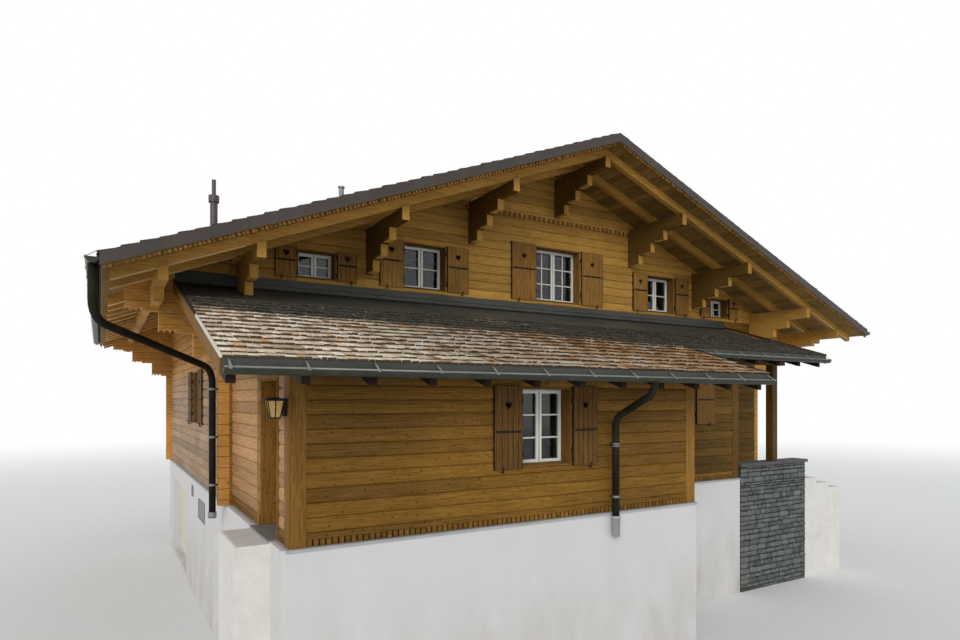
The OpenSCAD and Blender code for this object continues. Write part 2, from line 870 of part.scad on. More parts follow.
// The folded sheet along the verges: down the edge and over the shingles
module verge_metal() {
    color("rosybrown") both_ends() {
        along_y(-verge_out - sheet_t, -verge_out)
            polygon([[-eave_x, roof_z(eave_x) + sheet_t], [0, roof_z(0) + sheet_t],
                [eave_x, roof_z(eave_x) + sheet_t],
                [eave_x, roof_z(eave_x) - verge_metal_h],
                [0, roof_z(0) - verge_metal_h], [-eave_x, roof_z(eave_x) - verge_metal_h]]);
        along_y(-verge_out, -verge_out + verge_metal_h / 2)
            polygon([[-eave_x, roof_z(eave_x)], [0, roof_z(0)], [eave_x, roof_z(eave_x)],
                [eave_x, roof_z(eave_x) + sheet_t], [0, roof_z(0) + sheet_t],
                [-eave_x, roof_z(eave_x) + sheet_t]]);
    }
}

module ridge_cap() {
    y = -verge_out + verge_metal_h / 2;
    color("rosybrown") along_y(y, house_depth - y)
        polygon([[-ridge_cap_w, roof_z(ridge_cap_w)], [0, roof_z(0)],
            [ridge_cap_w, roof_z(ridge_cap_w)], [ridge_cap_w, roof_z(ridge_cap_w) + sheet_t],
            [0, roof_z(0) + sheet_t], [-ridge_cap_w, roof_z(ridge_cap_w) + sheet_t]]);
}

module lean_slab(x0, x1, y0) {
    color("tan") along_x(x0, x1)
        polygon([[y0, lean_z(y0) - lean_roof_t], [0, lean_z(0) - lean_roof_t], [0, lean_z(0)],
            [y0, lean_z(y0)]]);
}

module annex_roof() { lean_slab(-lean_left, lean_step_x, -annex_eave); }
module porch_roof() { lean_slab(lean_step_x, lean_right, -porch_eave); }

// A rafter of the lean-to, its top raised by over where it cuts another piece
module lean_rafter(x, y0, over) {
    along_x(x - lean_rafter_w / 2, x + lean_rafter_w / 2)
        polygon([[y0, lean_under_z(y0)], [0, lean_under_z(0)],
            [0, lean_z(0) - lean_roof_t + over], [y0, lean_z(y0) - lean_roof_t + over]]);
}

// Rafters of one stretch of the lean-to, evenly spaced between its ends
module lean_rafter_row(x0, x1, count, y0, over) {
    for (i = [0:count - 1]) lean_rafter(x0 + (x1 - x0) * i / (count - 1), y0, over);
}

module lean_rafter_bars(over = 0) {
    lean_rafter_row(-lean_left + lean_rafter_w, lean_step_x - lean_rafter_w, annex_rafters,
        -annex_eave + lean_rafter_w, over);
    lean_rafter_row(lean_step_x + lean_rafter_w, lean_right - lean_rafter_w, porch_rafters,
        -porch_eave + lean_rafter_w, over);
}

module lean_to_rafters() {
    color("goldenrod") lean_rafter_bars();
}

module flashing() {
    color("dimgray") along_x(-lean_left, lean_right)
        polygon([[-apron_w, lean_z(-apron_w)], [0, lean_z(0)], [0, lean_z(0) + upstand_h],
            [-sheet_t, lean_z(0) + upstand_h], [-sheet_t, lean_z(0) + sheet_t],
            [-apron_w, lean_z(-apron_w) + sheet_t]]);
}

// The post on the parapet's cap, and the beam it carries out from the recessed wall
module porch_frame() {
    y = recess_plinth_y + (parapet_t - post_w) / 2;
    low = lean_under_z(y) - porch_beam_h;
    color("peru") {
        box(post_x, post_x + post_w, y, y + post_w, plinth_top + parapet_h + cap_t, low);
        difference() {
            box(recess_right + corner_board_t, lean_right - lean_rafter_w, y, y + post_w, low,
                lean_z(0));
            above_lean(lean_roof_t + lean_rafter_h);
        }
    }
}

// A round bar along x
module round_bar(length, r) {
    rotate([0, 90, 0]) cylinder(h = length, r = r, $fn = round_fn);
}

// A half-round trough with closed ends, its lip at z = 0
module trough(length) {
    difference() {
        round_bar(length, gutter_r);
        translate([gutter_wall, 0, 0]) round_bar(length - 2 * gutter_wall, gutter_r - gutter_wall);
        translate([-eps, -gutter_r - eps, 0])
            cube([length + 2 * eps, 2 * gutter_r + 2 * eps, gutter_r + eps]);
    }
}

module gutters() {
    color("darkslategray") {
        both_sides() translate([eave_x + gutter_r, -verge_out, roof_z(eave_x) - gutter_drop])
            rotate([0, 0, 90]) trough(house_depth + 2 * verge_out);
        translate([-lean_left, -annex_eave - gutter_r, lean_z(-annex_eave) - gutter_drop])
            trough(lean_left + lean_step_x);
        translate([lean_step_x, -porch_eave - gutter_r, lean_z(-porch_eave) - gutter_drop])
            trough(lean_right - lean_step_x);
    }
}

// A downpipe from top to foot: down to the upper turn, across, and down from the lower turn,
// with a sleeve round each turn
module downpipe(top, foot, turn_high, turn_low) {
    run = norm([foot[0] - top[0], foot[1] - top[1]]);
    turn = atan2(run, turn_high - turn_low);
    translate([top[0], top[1], 0]) rotate([0, 0, atan2(foot[1] - top[1], foot[0] - top[0])]) {
        translate([0, 0, turn_high])
            cylinder(h = top[2] - turn_high, r = pipe_r, $fn = round_fn);
        translate([0, 0, turn_high]) rotate([0, 180 - turn, 0])
            cylinder(h = run / sin(turn), r = pipe_r, $fn = round_fn);
        translate([run, 0, foot[2]])
            cylinder(h = turn_low - foot[2], r = pipe_r, $fn = round_fn);
        for (at = [[0, 0, turn_high], [run, 0, turn_low]])
            translate(at)
                cylinder(h = sleeve_h, r = pipe_r + sleeve_t, center = true, $fn = round_fn);
    }
}

// A ring round a pipe at a point, with a stem of the given length and heading to the wall
module clamp(at, heading, stem) {
    translate(at) {
        cylinder(h = clamp_h, r = pipe_r + clamp_t, $fn = round_fn);
        rotate([0, 0, heading]) translate([0, -clamp_h / 2, 0]) cube([stem, clamp_h, clamp_h]);
    }
}

// The downpipe at the front end of the right eaves, held by the log ends at the corner
module side_pipe() {
    stem = pipe_r + pipe_gap;
    x = half_width + log_end_reach + stem;
    y = corbel_t / 2;
    turn_low = roof_z(half_width) - corbel_drop_1 - side_neck_drop;
    lip_z = roof_z(eave_x) - gutter_drop;
    downpipe([eave_x + gutter_r, -verge_out + pipe_inset, lip_z - gutter_r],
        [x, y, plinth_top - side_pipe_foot], turn_low + side_neck_h, turn_low);
    for (h = pipe_clamps) clamp([x, y, plinth_top + h], 180, stem);
}

// The side pipes stand at opposite corners: front left and rear right
module downpipes() {
    annex_y = annex_plinth_y - pipe_gap - pipe_r;
    annex_stem = -annex_depth - annex_y;
    annex_lip_z = lean_z(-annex_eave) - gutter_drop;
    annex_turn_z = annex_lip_z - gutter_r - annex_neck_drop;
    color("dimgray") {
        mirror([1, 0, 0]) side_pipe();
        translate([0, house_depth, 0]) mirror([0, 1, 0]) side_pipe();
        downpipe([annex_pipe_x, -annex_eave - gutter_r, annex_lip_z - gutter_r],
            [annex_pipe_x, annex_y, plinth_top - annex_pipe_foot], annex_turn_z,
            annex_turn_z - annex_neck_h);
        for (h = annex_pipe_clamps)
            clamp([annex_pipe_x, annex_y, plinth_top + h], 90, annex_stem);
    }
}

module window_frames() {
    color("white") {
        frames_of(gable_windows);
        on_front(annex_depth) frames_of(annex_windows);
        on_front(recess_depth) frames_of(recess_windows);
        on_left() frames_of(left_windows);
        on_right() frames_of(right_windows);
        on_rear() frames_of(gable_windows);
        on_rear() frames_of(rear_windows);
    }
}

module window_glass() {
    color("lightblue") {
        glass_of(gable_windows);
        on_front(annex_depth) glass_of(annex_windows);
        on_front(recess_depth) glass_of(recess_windows);
        on_left() glass_of(left_windows);
        on_right() glass_of(right_windows);
        on_rear() glass_of(gable_windows);
        on_rear() glass_of(rear_windows);
    }
}

module shutters() {
    color("saddlebrown") {
        shutters_of(gable_windows);
        on_front(annex_depth) shutters_of(annex_windows);
        on_front(recess_depth) shutters_of(recess_windows);
        on_left() shutters_of(left_windows);
        on_right() shutters_of(right_windows);
        on_rear() shutters_of(gable_windows);
        on_rear() shutters_of(rear_windows);
    }
}

// The entrance, from its near jamb to its far one, and the faces of its frame and door
frame_x = -annex_left + entrance_recess;
door_x = frame_x + door_frame_t - door_t;
door_low = plinth_top + sill_t + door_gap;
door_h = entrance_h - door_frame_w - sill_t - 2 * door_gap;

module door_frame() {
    color("sienna") difference() {
        box(frame_x, frame_x + door_frame_t, near_jamb, far_jamb, plinth_top + sill_t,
            plinth_top + entrance_h);
        box(frame_x - eps, frame_x + door_frame_t + eps, near_jamb + door_frame_w,
            far_jamb - door_frame_w, plinth_top, plinth_top + entrance_h - door_frame_w);
    }
}

module door_sill() {
    color("gray") box(-outer - sill_over, frame_x + door_frame_t, near_jamb, far_jamb,
        plinth_top, plinth_top + sill_t);
}

module entrance_door() {
    color("saddlebrown")
        box(door_x, door_x + door_t, near_jamb + door_frame_w + door_gap,
            far_jamb - door_frame_w - door_gap, door_low, door_low + door_h);
}

// Knuckles of the door's hinges, and the heights of the hinges above the door's lower edge
knuckle_r = 9;
knuckle_h = 50;
hinge_in = 220;
hinge_heights = [hinge_in, door_h - hinge_in - 2 * knuckle_h];

// Half of a door hinge: its knuckle round the axis, and its plate to one side of it
module hinge_half(low, side) {
    plate_t = 4;
    plate_w = 55;
    translate([door_x + door_t + knuckle_r + eps, near_jamb + door_frame_w + door_gap, low]) {
        cylinder(h = knuckle_h, r = knuckle_r, $fn = round_fn);
        translate([-knuckle_r - eps, side > 0 ? 0 : -plate_w, 0])
            cube([plate_t, plate_w, knuckle_h]);
    }
}

// The fixed halves of the hinges, on the door frame
module hinge_pins() {
    color("black") for (h = hinge_heights) hinge_half(door_low + h, -1);
}

// The moving halves of the hinges, and a plate, a spindle and a lever on each face of the door
module door_ironwork() {
    plate_t = 8;
    plate_w = 40;
    plate_h = 220;
    lever_above_plate = 130;
    lever_r = 9;
    lever_l = 130;
    spindle_l = 50;
    edge_to_spindle = 70;
    y = far_jamb - door_frame_w - door_gap - edge_to_spindle;
    color("black") {
        for (h = hinge_heights) hinge_half(door_low + h + knuckle_h, 1);
        for (side = [-1, 1]) {
            face = side < 0 ? door_x : door_x + door_t;
            translate([face, y, plinth_top + handle_h]) mirror([side < 0 ? 1 : 0, 0, 0]) {
                translate([0, -plate_w / 2, -lever_above_plate])
                    cube([plate_t, plate_w, plate_h]);
                round_bar(spindle_l, lever_r);
                translate([spindle_l, lever_r, 0]) rotate([90, 0, 0])
                    cylinder(h = lever_l, r = lever_r, $fn = round_fn);
            }
        }
    }
}

module garage_door() {
    x = -outer + garage_recess;
    color("cornsilk")
        box(x, x + garage_door_t, garage_y, garage_y + garage_w, cellar_slab_t,
            cellar_slab_t + garage_h);
}

// The lantern hangs from an arm on the corner boards, its body wider at the top
module lantern() {
    low_w = lantern_w * 2 / 3;
    plate_w = 110;
    plate_h = 200;
    arm_l = 260;
    arm_above_top = 110;
    bar = 24;
    x = -annex_left - corner_board_t;
    y = -annex_depth + corner_board_w / 2;
    top = plinth_top + lantern_z;
    color("black") {
        box(x - bar / 2, x, y - plate_w / 2, y + plate_w / 2, top, top + plate_h);
        box(x - arm_l, x - bar / 2, y - bar / 2, y + bar / 2, top + arm_above_top,
            top + arm_above_top + bar);
        translate([x - arm_l + lantern_w / 2, y, 0]) {
            translate([0, 0, top]) cylinder(h = arm_above_top, r = bar / 2, $fn = round_fn);
            translate([0, 0, top]) rotate(45)
                cylinder(h = bar, d = (lantern_w + bar) * sqrt(2), $fn = 4);
            translate([0, 0, top - lantern_h]) rotate(45)
                cylinder(h = lantern_h, d1 = low_w * sqrt(2), d2 = lantern_w * sqrt(2), $fn = 4);
        }
    }
}

// A pipe on a square sheet that follows the slope of the roof
module roof_pipe(x, y, r, height) {
    difference() {
        union() {
            translate([x, y, roof_z(x) - r]) cylinder(h = height + r, r = r, $fn = round_fn);
            difference() {
                box(x - 2 * r, x + 2 * r, y - 2 * r, y + 2 * r, plinth_top, roof_z(0));
                above_roof(-sheet_t);
            }
        }
        difference() {
            box(-far, far, -far, far, 0, roof_z(0));
            above_roof(0);
        }
    }
}

module flue() {
    color("rosybrown") {
        roof_pipe(flue_x, flue_y, flue_r, flue_h);
        translate([flue_x, flue_y, roof_z(flue_x) + flue_h]) {
            cylinder(h = flue_collar_h, r = flue_collar_r, $fn = round_fn);
            cylinder(h = flue_collar_h + flue_top_h, r = flue_top_r, $fn = round_fn);
        }
    }
}

module roof_vent() {
    color("gray") {
        roof_pipe(vent_x, vent_y, vent_r, vent_h);
        translate([vent_x, vent_y, roof_z(vent_x) + vent_h])
            cylinder(h = vent_cap_h, r = vent_cap_r, $fn = round_fn);
    }
}

cellar_floor();
plinth_cross_walls();
plinth_side_walls();
plinth_lintel();
porch_base();
parapet();
parapet_cap();
porch_steps();
door_step();
ground_floor();
upper_floor();
left_wall();
right_wall();
rear_wall();
gable_wall();
gable_beam();
porch_wall();
annex_front_wall();
annex_corner_wall();
annex_left_wall();
door_header();
annex_right_wall();
recess_wall();
recess_side_wall();
corner_boards();
corbels();
purlins();
wall_plates();
rafters_left();
rafters_right();
eave_boards();
roof_left();
roof_right();
verge_metal();
ridge_cap();
annex_roof();
porch_roof();
lean_to_rafters();
flashing();
porch_frame();
gutters();
downpipes();
window_frames();
window_glass();
shutters();
door_frame();
door_sill();
entrance_door();
door_ironwork();
hinge_pins();
garage_door();
lantern();
flue();
roof_vent();
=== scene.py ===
# %% [markdown]
# # An alpine chalet, dressed over its CAD frame
# The walls, logs, roofs and doors come from the CAD model, which is loaded first and never moved.
# This script adds what a joiner, a roofer and a plumber would add: boards, shingles, stones,
# glazing bars, ironwork and gutters. It also gives every surface a finish made only of shader
# nodes.

# %% Load the frame
import bpy
import numpy as np
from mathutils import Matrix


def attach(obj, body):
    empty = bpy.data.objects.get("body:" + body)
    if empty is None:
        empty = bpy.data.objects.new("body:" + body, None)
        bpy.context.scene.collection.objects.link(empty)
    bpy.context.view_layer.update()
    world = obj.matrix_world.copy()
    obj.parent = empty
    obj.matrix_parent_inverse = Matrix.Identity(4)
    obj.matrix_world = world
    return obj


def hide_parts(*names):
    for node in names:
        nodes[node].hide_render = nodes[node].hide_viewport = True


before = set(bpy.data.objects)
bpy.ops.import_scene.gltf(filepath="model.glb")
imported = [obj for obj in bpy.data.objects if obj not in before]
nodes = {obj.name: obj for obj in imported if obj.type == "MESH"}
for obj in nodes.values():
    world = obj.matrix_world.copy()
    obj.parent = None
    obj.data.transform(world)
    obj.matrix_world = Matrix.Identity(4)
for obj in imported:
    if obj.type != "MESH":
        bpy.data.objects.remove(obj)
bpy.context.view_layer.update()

rng = np.random.default_rng(41)

# %% [markdown]
# ## Measures of the house
# A few numbers are enough to place every board: the wall faces, the two roof planes and the
# plinth's top. They could be measured on the loaded meshes. Named values in metres, which repeat
# what the CAD model says, are easier to read. The roof heights are functions, as many pieces
# follow a slope.

# %% Wall faces and roof planes
PLINTH = 2.60
SIDE, DEPTH = 6.87, 9.90
ANNEX_LEFT, ANNEX_RIGHT, ANNEX_Y = -6.80, 0.08, -3.74
RECESS_RIGHT, RECESS_Y = 3.70, -1.87
DOOR_FRONT, DOOR_BACK = -3.19, -2.09
ROOF_RISE, LEAN_RISE = 0.383, 0.323
RIDGE, EAVE, VERGE, ROOF_T = 9.58, 8.75, 2.05, 0.15
LEAN_TOP, LEAN_T, LEAN_LEFT, LEAN_RIGHT = 6.25, 0.13, -7.70, 5.60
ANNEX_EAVE, PORCH_EAVE, LEAN_STEP, APRON = -4.62, -2.80, 0.93, 1.40
ROOF_LENGTH = DEPTH + 2 * VERGE
X, Y, Z = np.eye(3)


def roof_z(x):
    """Height of the house's roof at a distance from the ridge line."""
    return RIDGE - ROOF_RISE * np.abs(x)


def lean_z(y):
    """Height of the lean-to's roof in front of the gable wall, where y is below 0."""
    return LEAN_TOP + LEAN_RISE * y


print("eaves at", roof_z(EAVE), "lean-to eaves at", lean_z(ANNEX_EAVE))

# %% [markdown]
# ## Where the windows are
# A window's sash, sill, shutters and ironwork all hang on the same few measures, so these are
# listed once. Each row holds the point under the window's middle on the wall's face, the direction
# along the wall, the direction out of it, then sill height, width, height, and panes across and up
# in one half.

# %% Windows
GABLE_SILL, ANNEX_SILL, FLOOR_SILL = 6.55, 3.40, 3.87
GABLE_SIZES = [(0.05, 1.23, 1.18, 2, 3), (-3.24, 0.92, 0.88, 1, 2), (3.24, 0.92, 0.88, 1, 2),
               (-5.39, 0.70, 0.50, 1, 2), (5.39, 0.70, 0.50, 1, 2)]
WINDOWS = [((x, 0.0, 0.0), X, -Y, GABLE_SILL, *size) for x, *size in GABLE_SIZES]
WINDOWS += [((-x, DEPTH, 0.0), -X, Y, GABLE_SILL, *size) for x, *size in GABLE_SIZES]
WINDOWS.append(((-3.05, ANNEX_Y, 0.0), X, -Y, ANNEX_SILL, 0.90, 1.15, 1, 3))
for foot, along, outward in (((1.75, RECESS_Y, 0.0), X, -Y), ((-SIDE, 4.15, 0.0), -Y, -X),
                             ((SIDE, 4.15, 0.0), Y, X), ((3.40, DEPTH, 0.0), -X, Y),
                             ((-3.40, DEPTH, 0.0), -X, Y)):
    WINDOWS.append((foot, along, outward, FLOOR_SILL, 1.10, 1.13, 1, 3))
print("windows:", len(WINDOWS))

# %% [markdown]
# ## The faces of a bar
# Most things on a timber house are bars: boards, glazing bars, battens, logs. They could be
# stretched cubes or curves with a profile, one object each. Here a bar is a small outline carried
# from one end to the other, worked out with numpy, because hundreds of bars then take one sum. Its
# faces follow from counting: quads between neighbouring outlines, and a ladder of quads across
# each end.

# %% Corner numbers of a bar
def skin(ring, rings):
    """Face k, j joins corners j and j + 1 of outline k to those of outline k + 1. A rung of the
    end's ladder joins corners i and i + 1 to the two that lie opposite. Returns all the faces, and
    the ladder."""
    j = np.arange(ring)
    side = np.stack([j, (j + 1) % ring, (j + 1) % ring + ring, j + ring], 1)
    sides = (np.arange(rings - 1)[:, None, None] * ring + side).reshape(-1, 4)
    i = np.arange(ring // 2 - 1)
    ladder = np.stack([i, i + 1, ring - 2 - i, ring - 1 - i], 1)
    return np.concatenate([sides, ladder[:, ::-1], ladder + (rings - 1) * ring]), ladder


print("faces of a bar with eight edges:", len(skin(8, 2)[0]))

# %% [markdown]
# ## The grain on a bar
# Wood shows which way it was sawn, so a pattern has to follow each bar, whichever way it points. A
# texture map does that: u is the distance along the bar and v the distance round it, both in
# metres. Each bar starts somewhere else on the map, or all the boards of a wall would show the
# same knots.

# %% Grain map
def grain_map(outline, length, places, ladder):
    """On the sides, u = place * length and v = the outline's length up to that corner. On the ends,
    (u, v) is the outline itself. Every bar's map is then shifted at random."""
    count, ring = outline.shape[:2]
    step = np.linalg.norm(np.roll(outline, -1, 1) - outline, axis=2)
    v = np.concatenate([np.zeros((count, 1)), np.cumsum(step, 1)], 1)
    shift = rng.uniform(0, 40, (count, 2))
    u = length[:, None] * np.reshape(places, (1, -1))
    j, k = np.arange(ring), np.arange(len(places) - 1)[:, None]
    near, far = u[:, k] + 0 * j, u[:, k + 1] + 0 * j
    side_u = np.stack([near, near, far, far], -1)
    side_v = np.stack([v[:, j], v[:, j + 1], v[:, j + 1], v[:, j]], -1)[:, None]
    sides = np.stack([side_u, np.broadcast_to(side_v, side_u.shape)], -1).reshape(count, -1, 4, 2)
    ends = outline[:, np.concatenate([ladder[:, ::-1], ladder])]
    return np.concatenate([sides, ends], 1) + shift[:, None, None]


print("grain map: u along the bar, v round it")

# %% [markdown]
# ## Many bars at once
# All the bars of one kind share an outline but differ in start, length and direction. The points
# of all of them are one array sum. A bar's places may lie anywhere along it, each with its own
# size, so a stone or a lantern can taper. Faces must point outwards, so an inside-out bar is
# turned round.

# %% Bars, all at once
def carry(profile, start, along, across, out, places=(0.0, 1.0), sizes=(1.0, 1.0), skew=0.0):
    """Bars: point = start + place * along + size * (p * across + q * out), with (p, q) going once
    round the profile. Skew slides a bar's end along it, by so much for each unit of p, which
    cuts the end aslant. Also gives each bar its grain map and one random tone."""
    vectors = [np.atleast_2d(np.asarray(v, float)) for v in (start, along, across, out)]
    start, along, across, out = np.broadcast_arrays(*vectors)
    count, ring, rings = len(start), np.shape(profile)[-2], len(places)
    outline = np.broadcast_to(np.asarray(profile, float), (count, ring, 2))
    p, q = outline[:, None, :, :1], outline[:, None, :, 1:]
    length = np.linalg.norm(along, axis=1)
    skew = np.broadcast_to(np.asarray(skew, float), (count, rings))[:, :, None, None]
    place = np.reshape(places, (1, rings, 1, 1))
    size = np.reshape(sizes, (1, rings, 1, 1))
    points = (start[:, None, None] + place * along[:, None, None]
              + size * (p * across[:, None, None] + q * out[:, None, None])
              + skew * p * (along / length[:, None])[:, None, None])
    faces, ladder = skin(ring, rings)
    grain = grain_map(outline, length, places, ladder)
    quads = np.arange(count)[:, None, None] * (ring * rings) + faces
    area = np.sum(outline[:, :, 0] * np.roll(outline[:, :, 1], -1, 1)
                  - outline[:, :, 1] * np.roll(outline[:, :, 0], -1, 1), 1)
    inside_out = np.einsum("ij,ij->i", np.cross(across, out), along) * area < 0
    quads[inside_out] = quads[inside_out][:, :, ::-1]
    grain[inside_out] = grain[inside_out][:, :, ::-1]
    tone = np.repeat(rng.random(count), len(faces))
    return points.reshape(-1, 3), quads.reshape(-1, 4), tone, grain.reshape(-1, 4, 2)


def together(*parts):
    """Several sets of arrays as one: the corner numbers of each go up by the points before it."""
    offsets = np.cumsum([0] + [len(part[0]) for part in parts[:-1]])
    points, quads, tone, grain = zip(*parts)
    quads = [corners + offset for corners, offset in zip(quads, offsets)]
    return tuple(np.concatenate(arrays) for arrays in (points, quads, tone, grain))


def mirrored(part):
    """The same arrays on the house's other side: x becomes -x, and each face's corners turn."""
    points, quads, tone, grain = part
    return points * [-1, 1, 1], quads[:, ::-1], tone, grain[:, ::-1]


print("bars: points, faces, tones and grain, all as arrays")

# %% [markdown]
# ## From arrays to a piece
# A mesh can be filled face by face in a loop, which is slow, or with foreach_set, which takes a
# whole array. Here that call writes the points, the faces, the grain map and one tone for each
# face. The piece then rides on its body, so that it moves with it, and takes its slot.

# %% Put a piece into the scene
def put(name, part, finish, body="house", smooth=False):
    """Writes the arrays into a mesh at the origin, gives it its finish and has it ride."""
    points, quads, tone, grain = part
    mesh = bpy.data.meshes.new(name)
    mesh.vertices.add(len(points))
    mesh.vertices.foreach_set("co", points.astype(np.float32).ravel())
    mesh.loops.add(quads.size)
    mesh.loops.foreach_set("vertex_index", quads.astype(np.int32).ravel())
    mesh.polygons.add(len(quads))
    mesh.polygons.foreach_set("loop_start", np.arange(0, quads.size, 4, dtype=np.int32))
    mesh.update(calc_edges=True)
    mesh.uv_layers.new(name="grain").data.foreach_set("uv", grain.astype(np.float32).ravel())
    tones = mesh.attributes.new("tone", "FLOAT", "FACE")
    tones.data.foreach_set("value", tone.astype(np.float32))
    mesh.materials.append(finish)
    mesh.polygons.foreach_set("use_smooth", np.full(len(quads), smooth))
    piece = bpy.data.objects.new(name, mesh)
    bpy.context.scene.collection.objects.link(piece)
    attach(piece, body)
    print(f"{name}: {len(quads)} faces")


# %% [markdown]
# ## Finishes from shader nodes
# A finish is a small graph of nodes. It could be drawn by hand in the shader editor, or painted as
# a picture. Written as code it stays sharp at any distance and can be read. The two classes keep
# the code short: each call adds a node, fills in its numbers and joins its wires. Every pattern
# reads a piece's grain map or Object coordinates, so it stays fixed to the house from every side.

# %% Nodes and wires
class Graph:
    """Nodes in one node tree. A value given to a call is a number, a colour or another's output."""

    def __init__(self, tree):
        self.tree = tree

    def add(self, kind, inputs=None, **settings):
        node = self.tree.nodes.new(kind)
        for key, value in settings.items():
            setattr(node, key, value)
        for key, value in (inputs or {}).items():
            if isinstance(value, bpy.types.NodeSocket):
                self.tree.links.new(value, node.inputs[key])
            else:
                node.inputs[key].default_value = value
        return node

    def math(self, operation, a, b=0.0, c=0.0, clamp=False):
        node = self.add("ShaderNodeMath", {0: a, 1: b, 2: c}, operation=operation, use_clamp=clamp)
        return node.outputs[0]

    def spread(self, value, low, high, to_low=0.0, to_high=1.0, smooth=False):
        """Takes the span from low to high over to the span from to_low to to_high."""
        inputs = {0: value, 1: low, 2: high, 3: to_low, 4: to_high}
        kind = "SMOOTHSTEP" if smooth else "LINEAR"
        return self.add("ShaderNodeMapRange", inputs, interpolation_type=kind).outputs[0]

    def noise(self, vector, scale, detail=3.0, rough=0.5, stretch=(1, 1, 1)):
        if tuple(stretch) != (1, 1, 1):
            inputs = {0: vector, 1: stretch}
            vector = self.add("ShaderNodeVectorMath", inputs, operation="MULTIPLY").outputs[0]
        inputs = {"Vector": vector, "Scale": scale, "Detail": detail, "Roughness": rough}
        return self.add("ShaderNodeTexNoise", inputs).outputs[0]

    def parts(self, vector):
        node = self.add("ShaderNodeSeparateXYZ", {0: vector})
        return node.outputs[0], node.outputs[1], node.outputs[2]


print("graph ready")

# %% [markdown]
# ## One finish on the bench
# A finish needs the same few things each time: a material with its shader, a place to read the
# pattern from, and at the end wires for colour, roughness and bump. They could be set up anew in
# each function. A class that is a Graph and also holds the material does it once, and names every
# step after what it is for.

# %% The bench that finishes are made on
class Bench(Graph):
    """A finish in the making: one material with its nodes, its wires and its one shader."""

    def __init__(self, name, slot, **shader):
        self.material = bpy.data.materials.new(name)
        self.material.use_nodes = True
        self.material["slot"] = slot
        super().__init__(self.material.node_tree)
        self.shader = self.tree.nodes["Principled BSDF"]
        for socket, value in shader.items():
            self.shader.inputs[socket.replace("_", " ")].default_value = value

    def place(self):
        return self.add("ShaderNodeTexCoord").outputs["Object"]

    def facing(self):
        return self.add("ShaderNodeNewGeometry").outputs["Normal"]

    def grain(self):
        return self.add("ShaderNodeUVMap", uv_map="grain").outputs[0]

    def tone(self):
        return self.add("ShaderNodeAttribute", attribute_name="tone").outputs["Fac"]

    def ramp(self, value, stops):
        node = self.add("ShaderNodeValToRGB", {0: value})
        band = node.color_ramp
        while len(band.elements) < len(stops):
            band.elements.new(0.5)
        for element, (place, colour) in zip(band.elements, stops):
            element.position, element.color = place, (*colour, 1)
        return node.outputs[0]

    def mix(self, share, a, b, blend="MIX"):
        a, b = (c if isinstance(c, bpy.types.NodeSocket) else (*c, 1) for c in (a, b))
        inputs = {0: share, 6: a, 7: b}
        node = self.add("ShaderNodeMix", inputs, data_type="RGBA", blend_type=blend)
        return node.outputs[2]

    def tint(self, colour, value, saturation=1.0):
        inputs = {"Value": value, "Saturation": saturation, "Color": colour}
        return self.add("ShaderNodeHueSaturation", inputs).outputs[0]

    def join(self, colour, roughness, height, depth, strength):
        """Wires the colour, the roughness and a bump as deep as depth to the shader."""
        self.tree.links.new(colour, self.shader.inputs["Base Color"])
        self.tree.links.new(roughness, self.shader.inputs["Roughness"])
        inputs = {"Height": height, "Distance": depth, "Strength": strength}
        bump = self.add("ShaderNodeBump", inputs)
        self.tree.links.new(bump.outputs[0], self.shader.inputs["Normal"])
        return self.material


def finishes():
    """How many finishes there are so far."""
    return sum("slot" in material for material in bpy.data.materials)


print("finishes before the first one:", finishes())

# %% [markdown]
# ## The figure of wood
# Sawn softwood shows three things: fine streaks along the grain, wide curved figure where the saw
# cut across the rings, and knots that push the figure aside. A wave texture could draw the rings,
# but it looks regular. Here the figure is drawn as the contour lines of one slow noise, stretched
# along the board, and each knot lifts that noise like a hill. Boards read their grain map, and the
# timbers of the CAD model read Object coordinates along a named axis.

# %% Streaks, figure and knots
def wood_figure(bench, axis, knots):
    """Figure = a wave that goes up and down over slow noise + hill at each knot. The pattern =
    0.28 * figure + 0.9 * streaks. Returns the pattern, the hearts of the knots and the board's own
    tone."""
    here = bench.place()
    if axis is None:
        u, v, _ = bench.parts(bench.grain())
        tone, knots_apart, dimensions = bench.tone(), 6.0, "2D"
        lay = (u, v, bench.math("MULTIPLY", tone, 31.0))
    else:
        x, y, z = bench.parts(here)
        tone, knots_apart, dimensions = bench.noise(here, 0.9, detail=0.0), 3.1, "3D"
        lay = {"x": (x, y, z), "y": (y, x, z), "z": (z, x, y)}[axis]
    joined = bench.add("ShaderNodeCombineXYZ", dict(enumerate(lay))).outputs[0]
    inputs = {"Vector": joined, "Scale": knots_apart}
    knot = bench.add("ShaderNodeTexVoronoi", inputs, voronoi_dimensions=dimensions).outputs
    kept = bench.math("GREATER_THAN", bench.parts(knot["Color"])[0], 0.60)
    near, heart = [bench.spread(knot["Distance"], full, none, 1.0, 0.0, True)
                   for full, none in ((0.0, 0.36), (0.03, 0.13))]
    near, heart = bench.math("MULTIPLY", kept, near), bench.math("MULTIPLY", kept, heart)
    slow = bench.noise(joined, 1.0, detail=1.5, stretch=(0.9, 9.0, 9.0))
    hill = bench.math("MULTIPLY_ADD", near, 0.35 * knots, slow)
    figure = bench.math("PINGPONG", bench.math("MULTIPLY", hill, 13.0), 0.5)
    streak = bench.noise(joined, 1.0, detail=5.0, rough=0.65, stretch=(2.0, 85.0, 85.0))
    pattern = bench.math("MULTIPLY_ADD", figure, 0.28, bench.math("MULTIPLY", streak, 0.9))
    return pattern, bench.math("MULTIPLY", heart, knots), tone


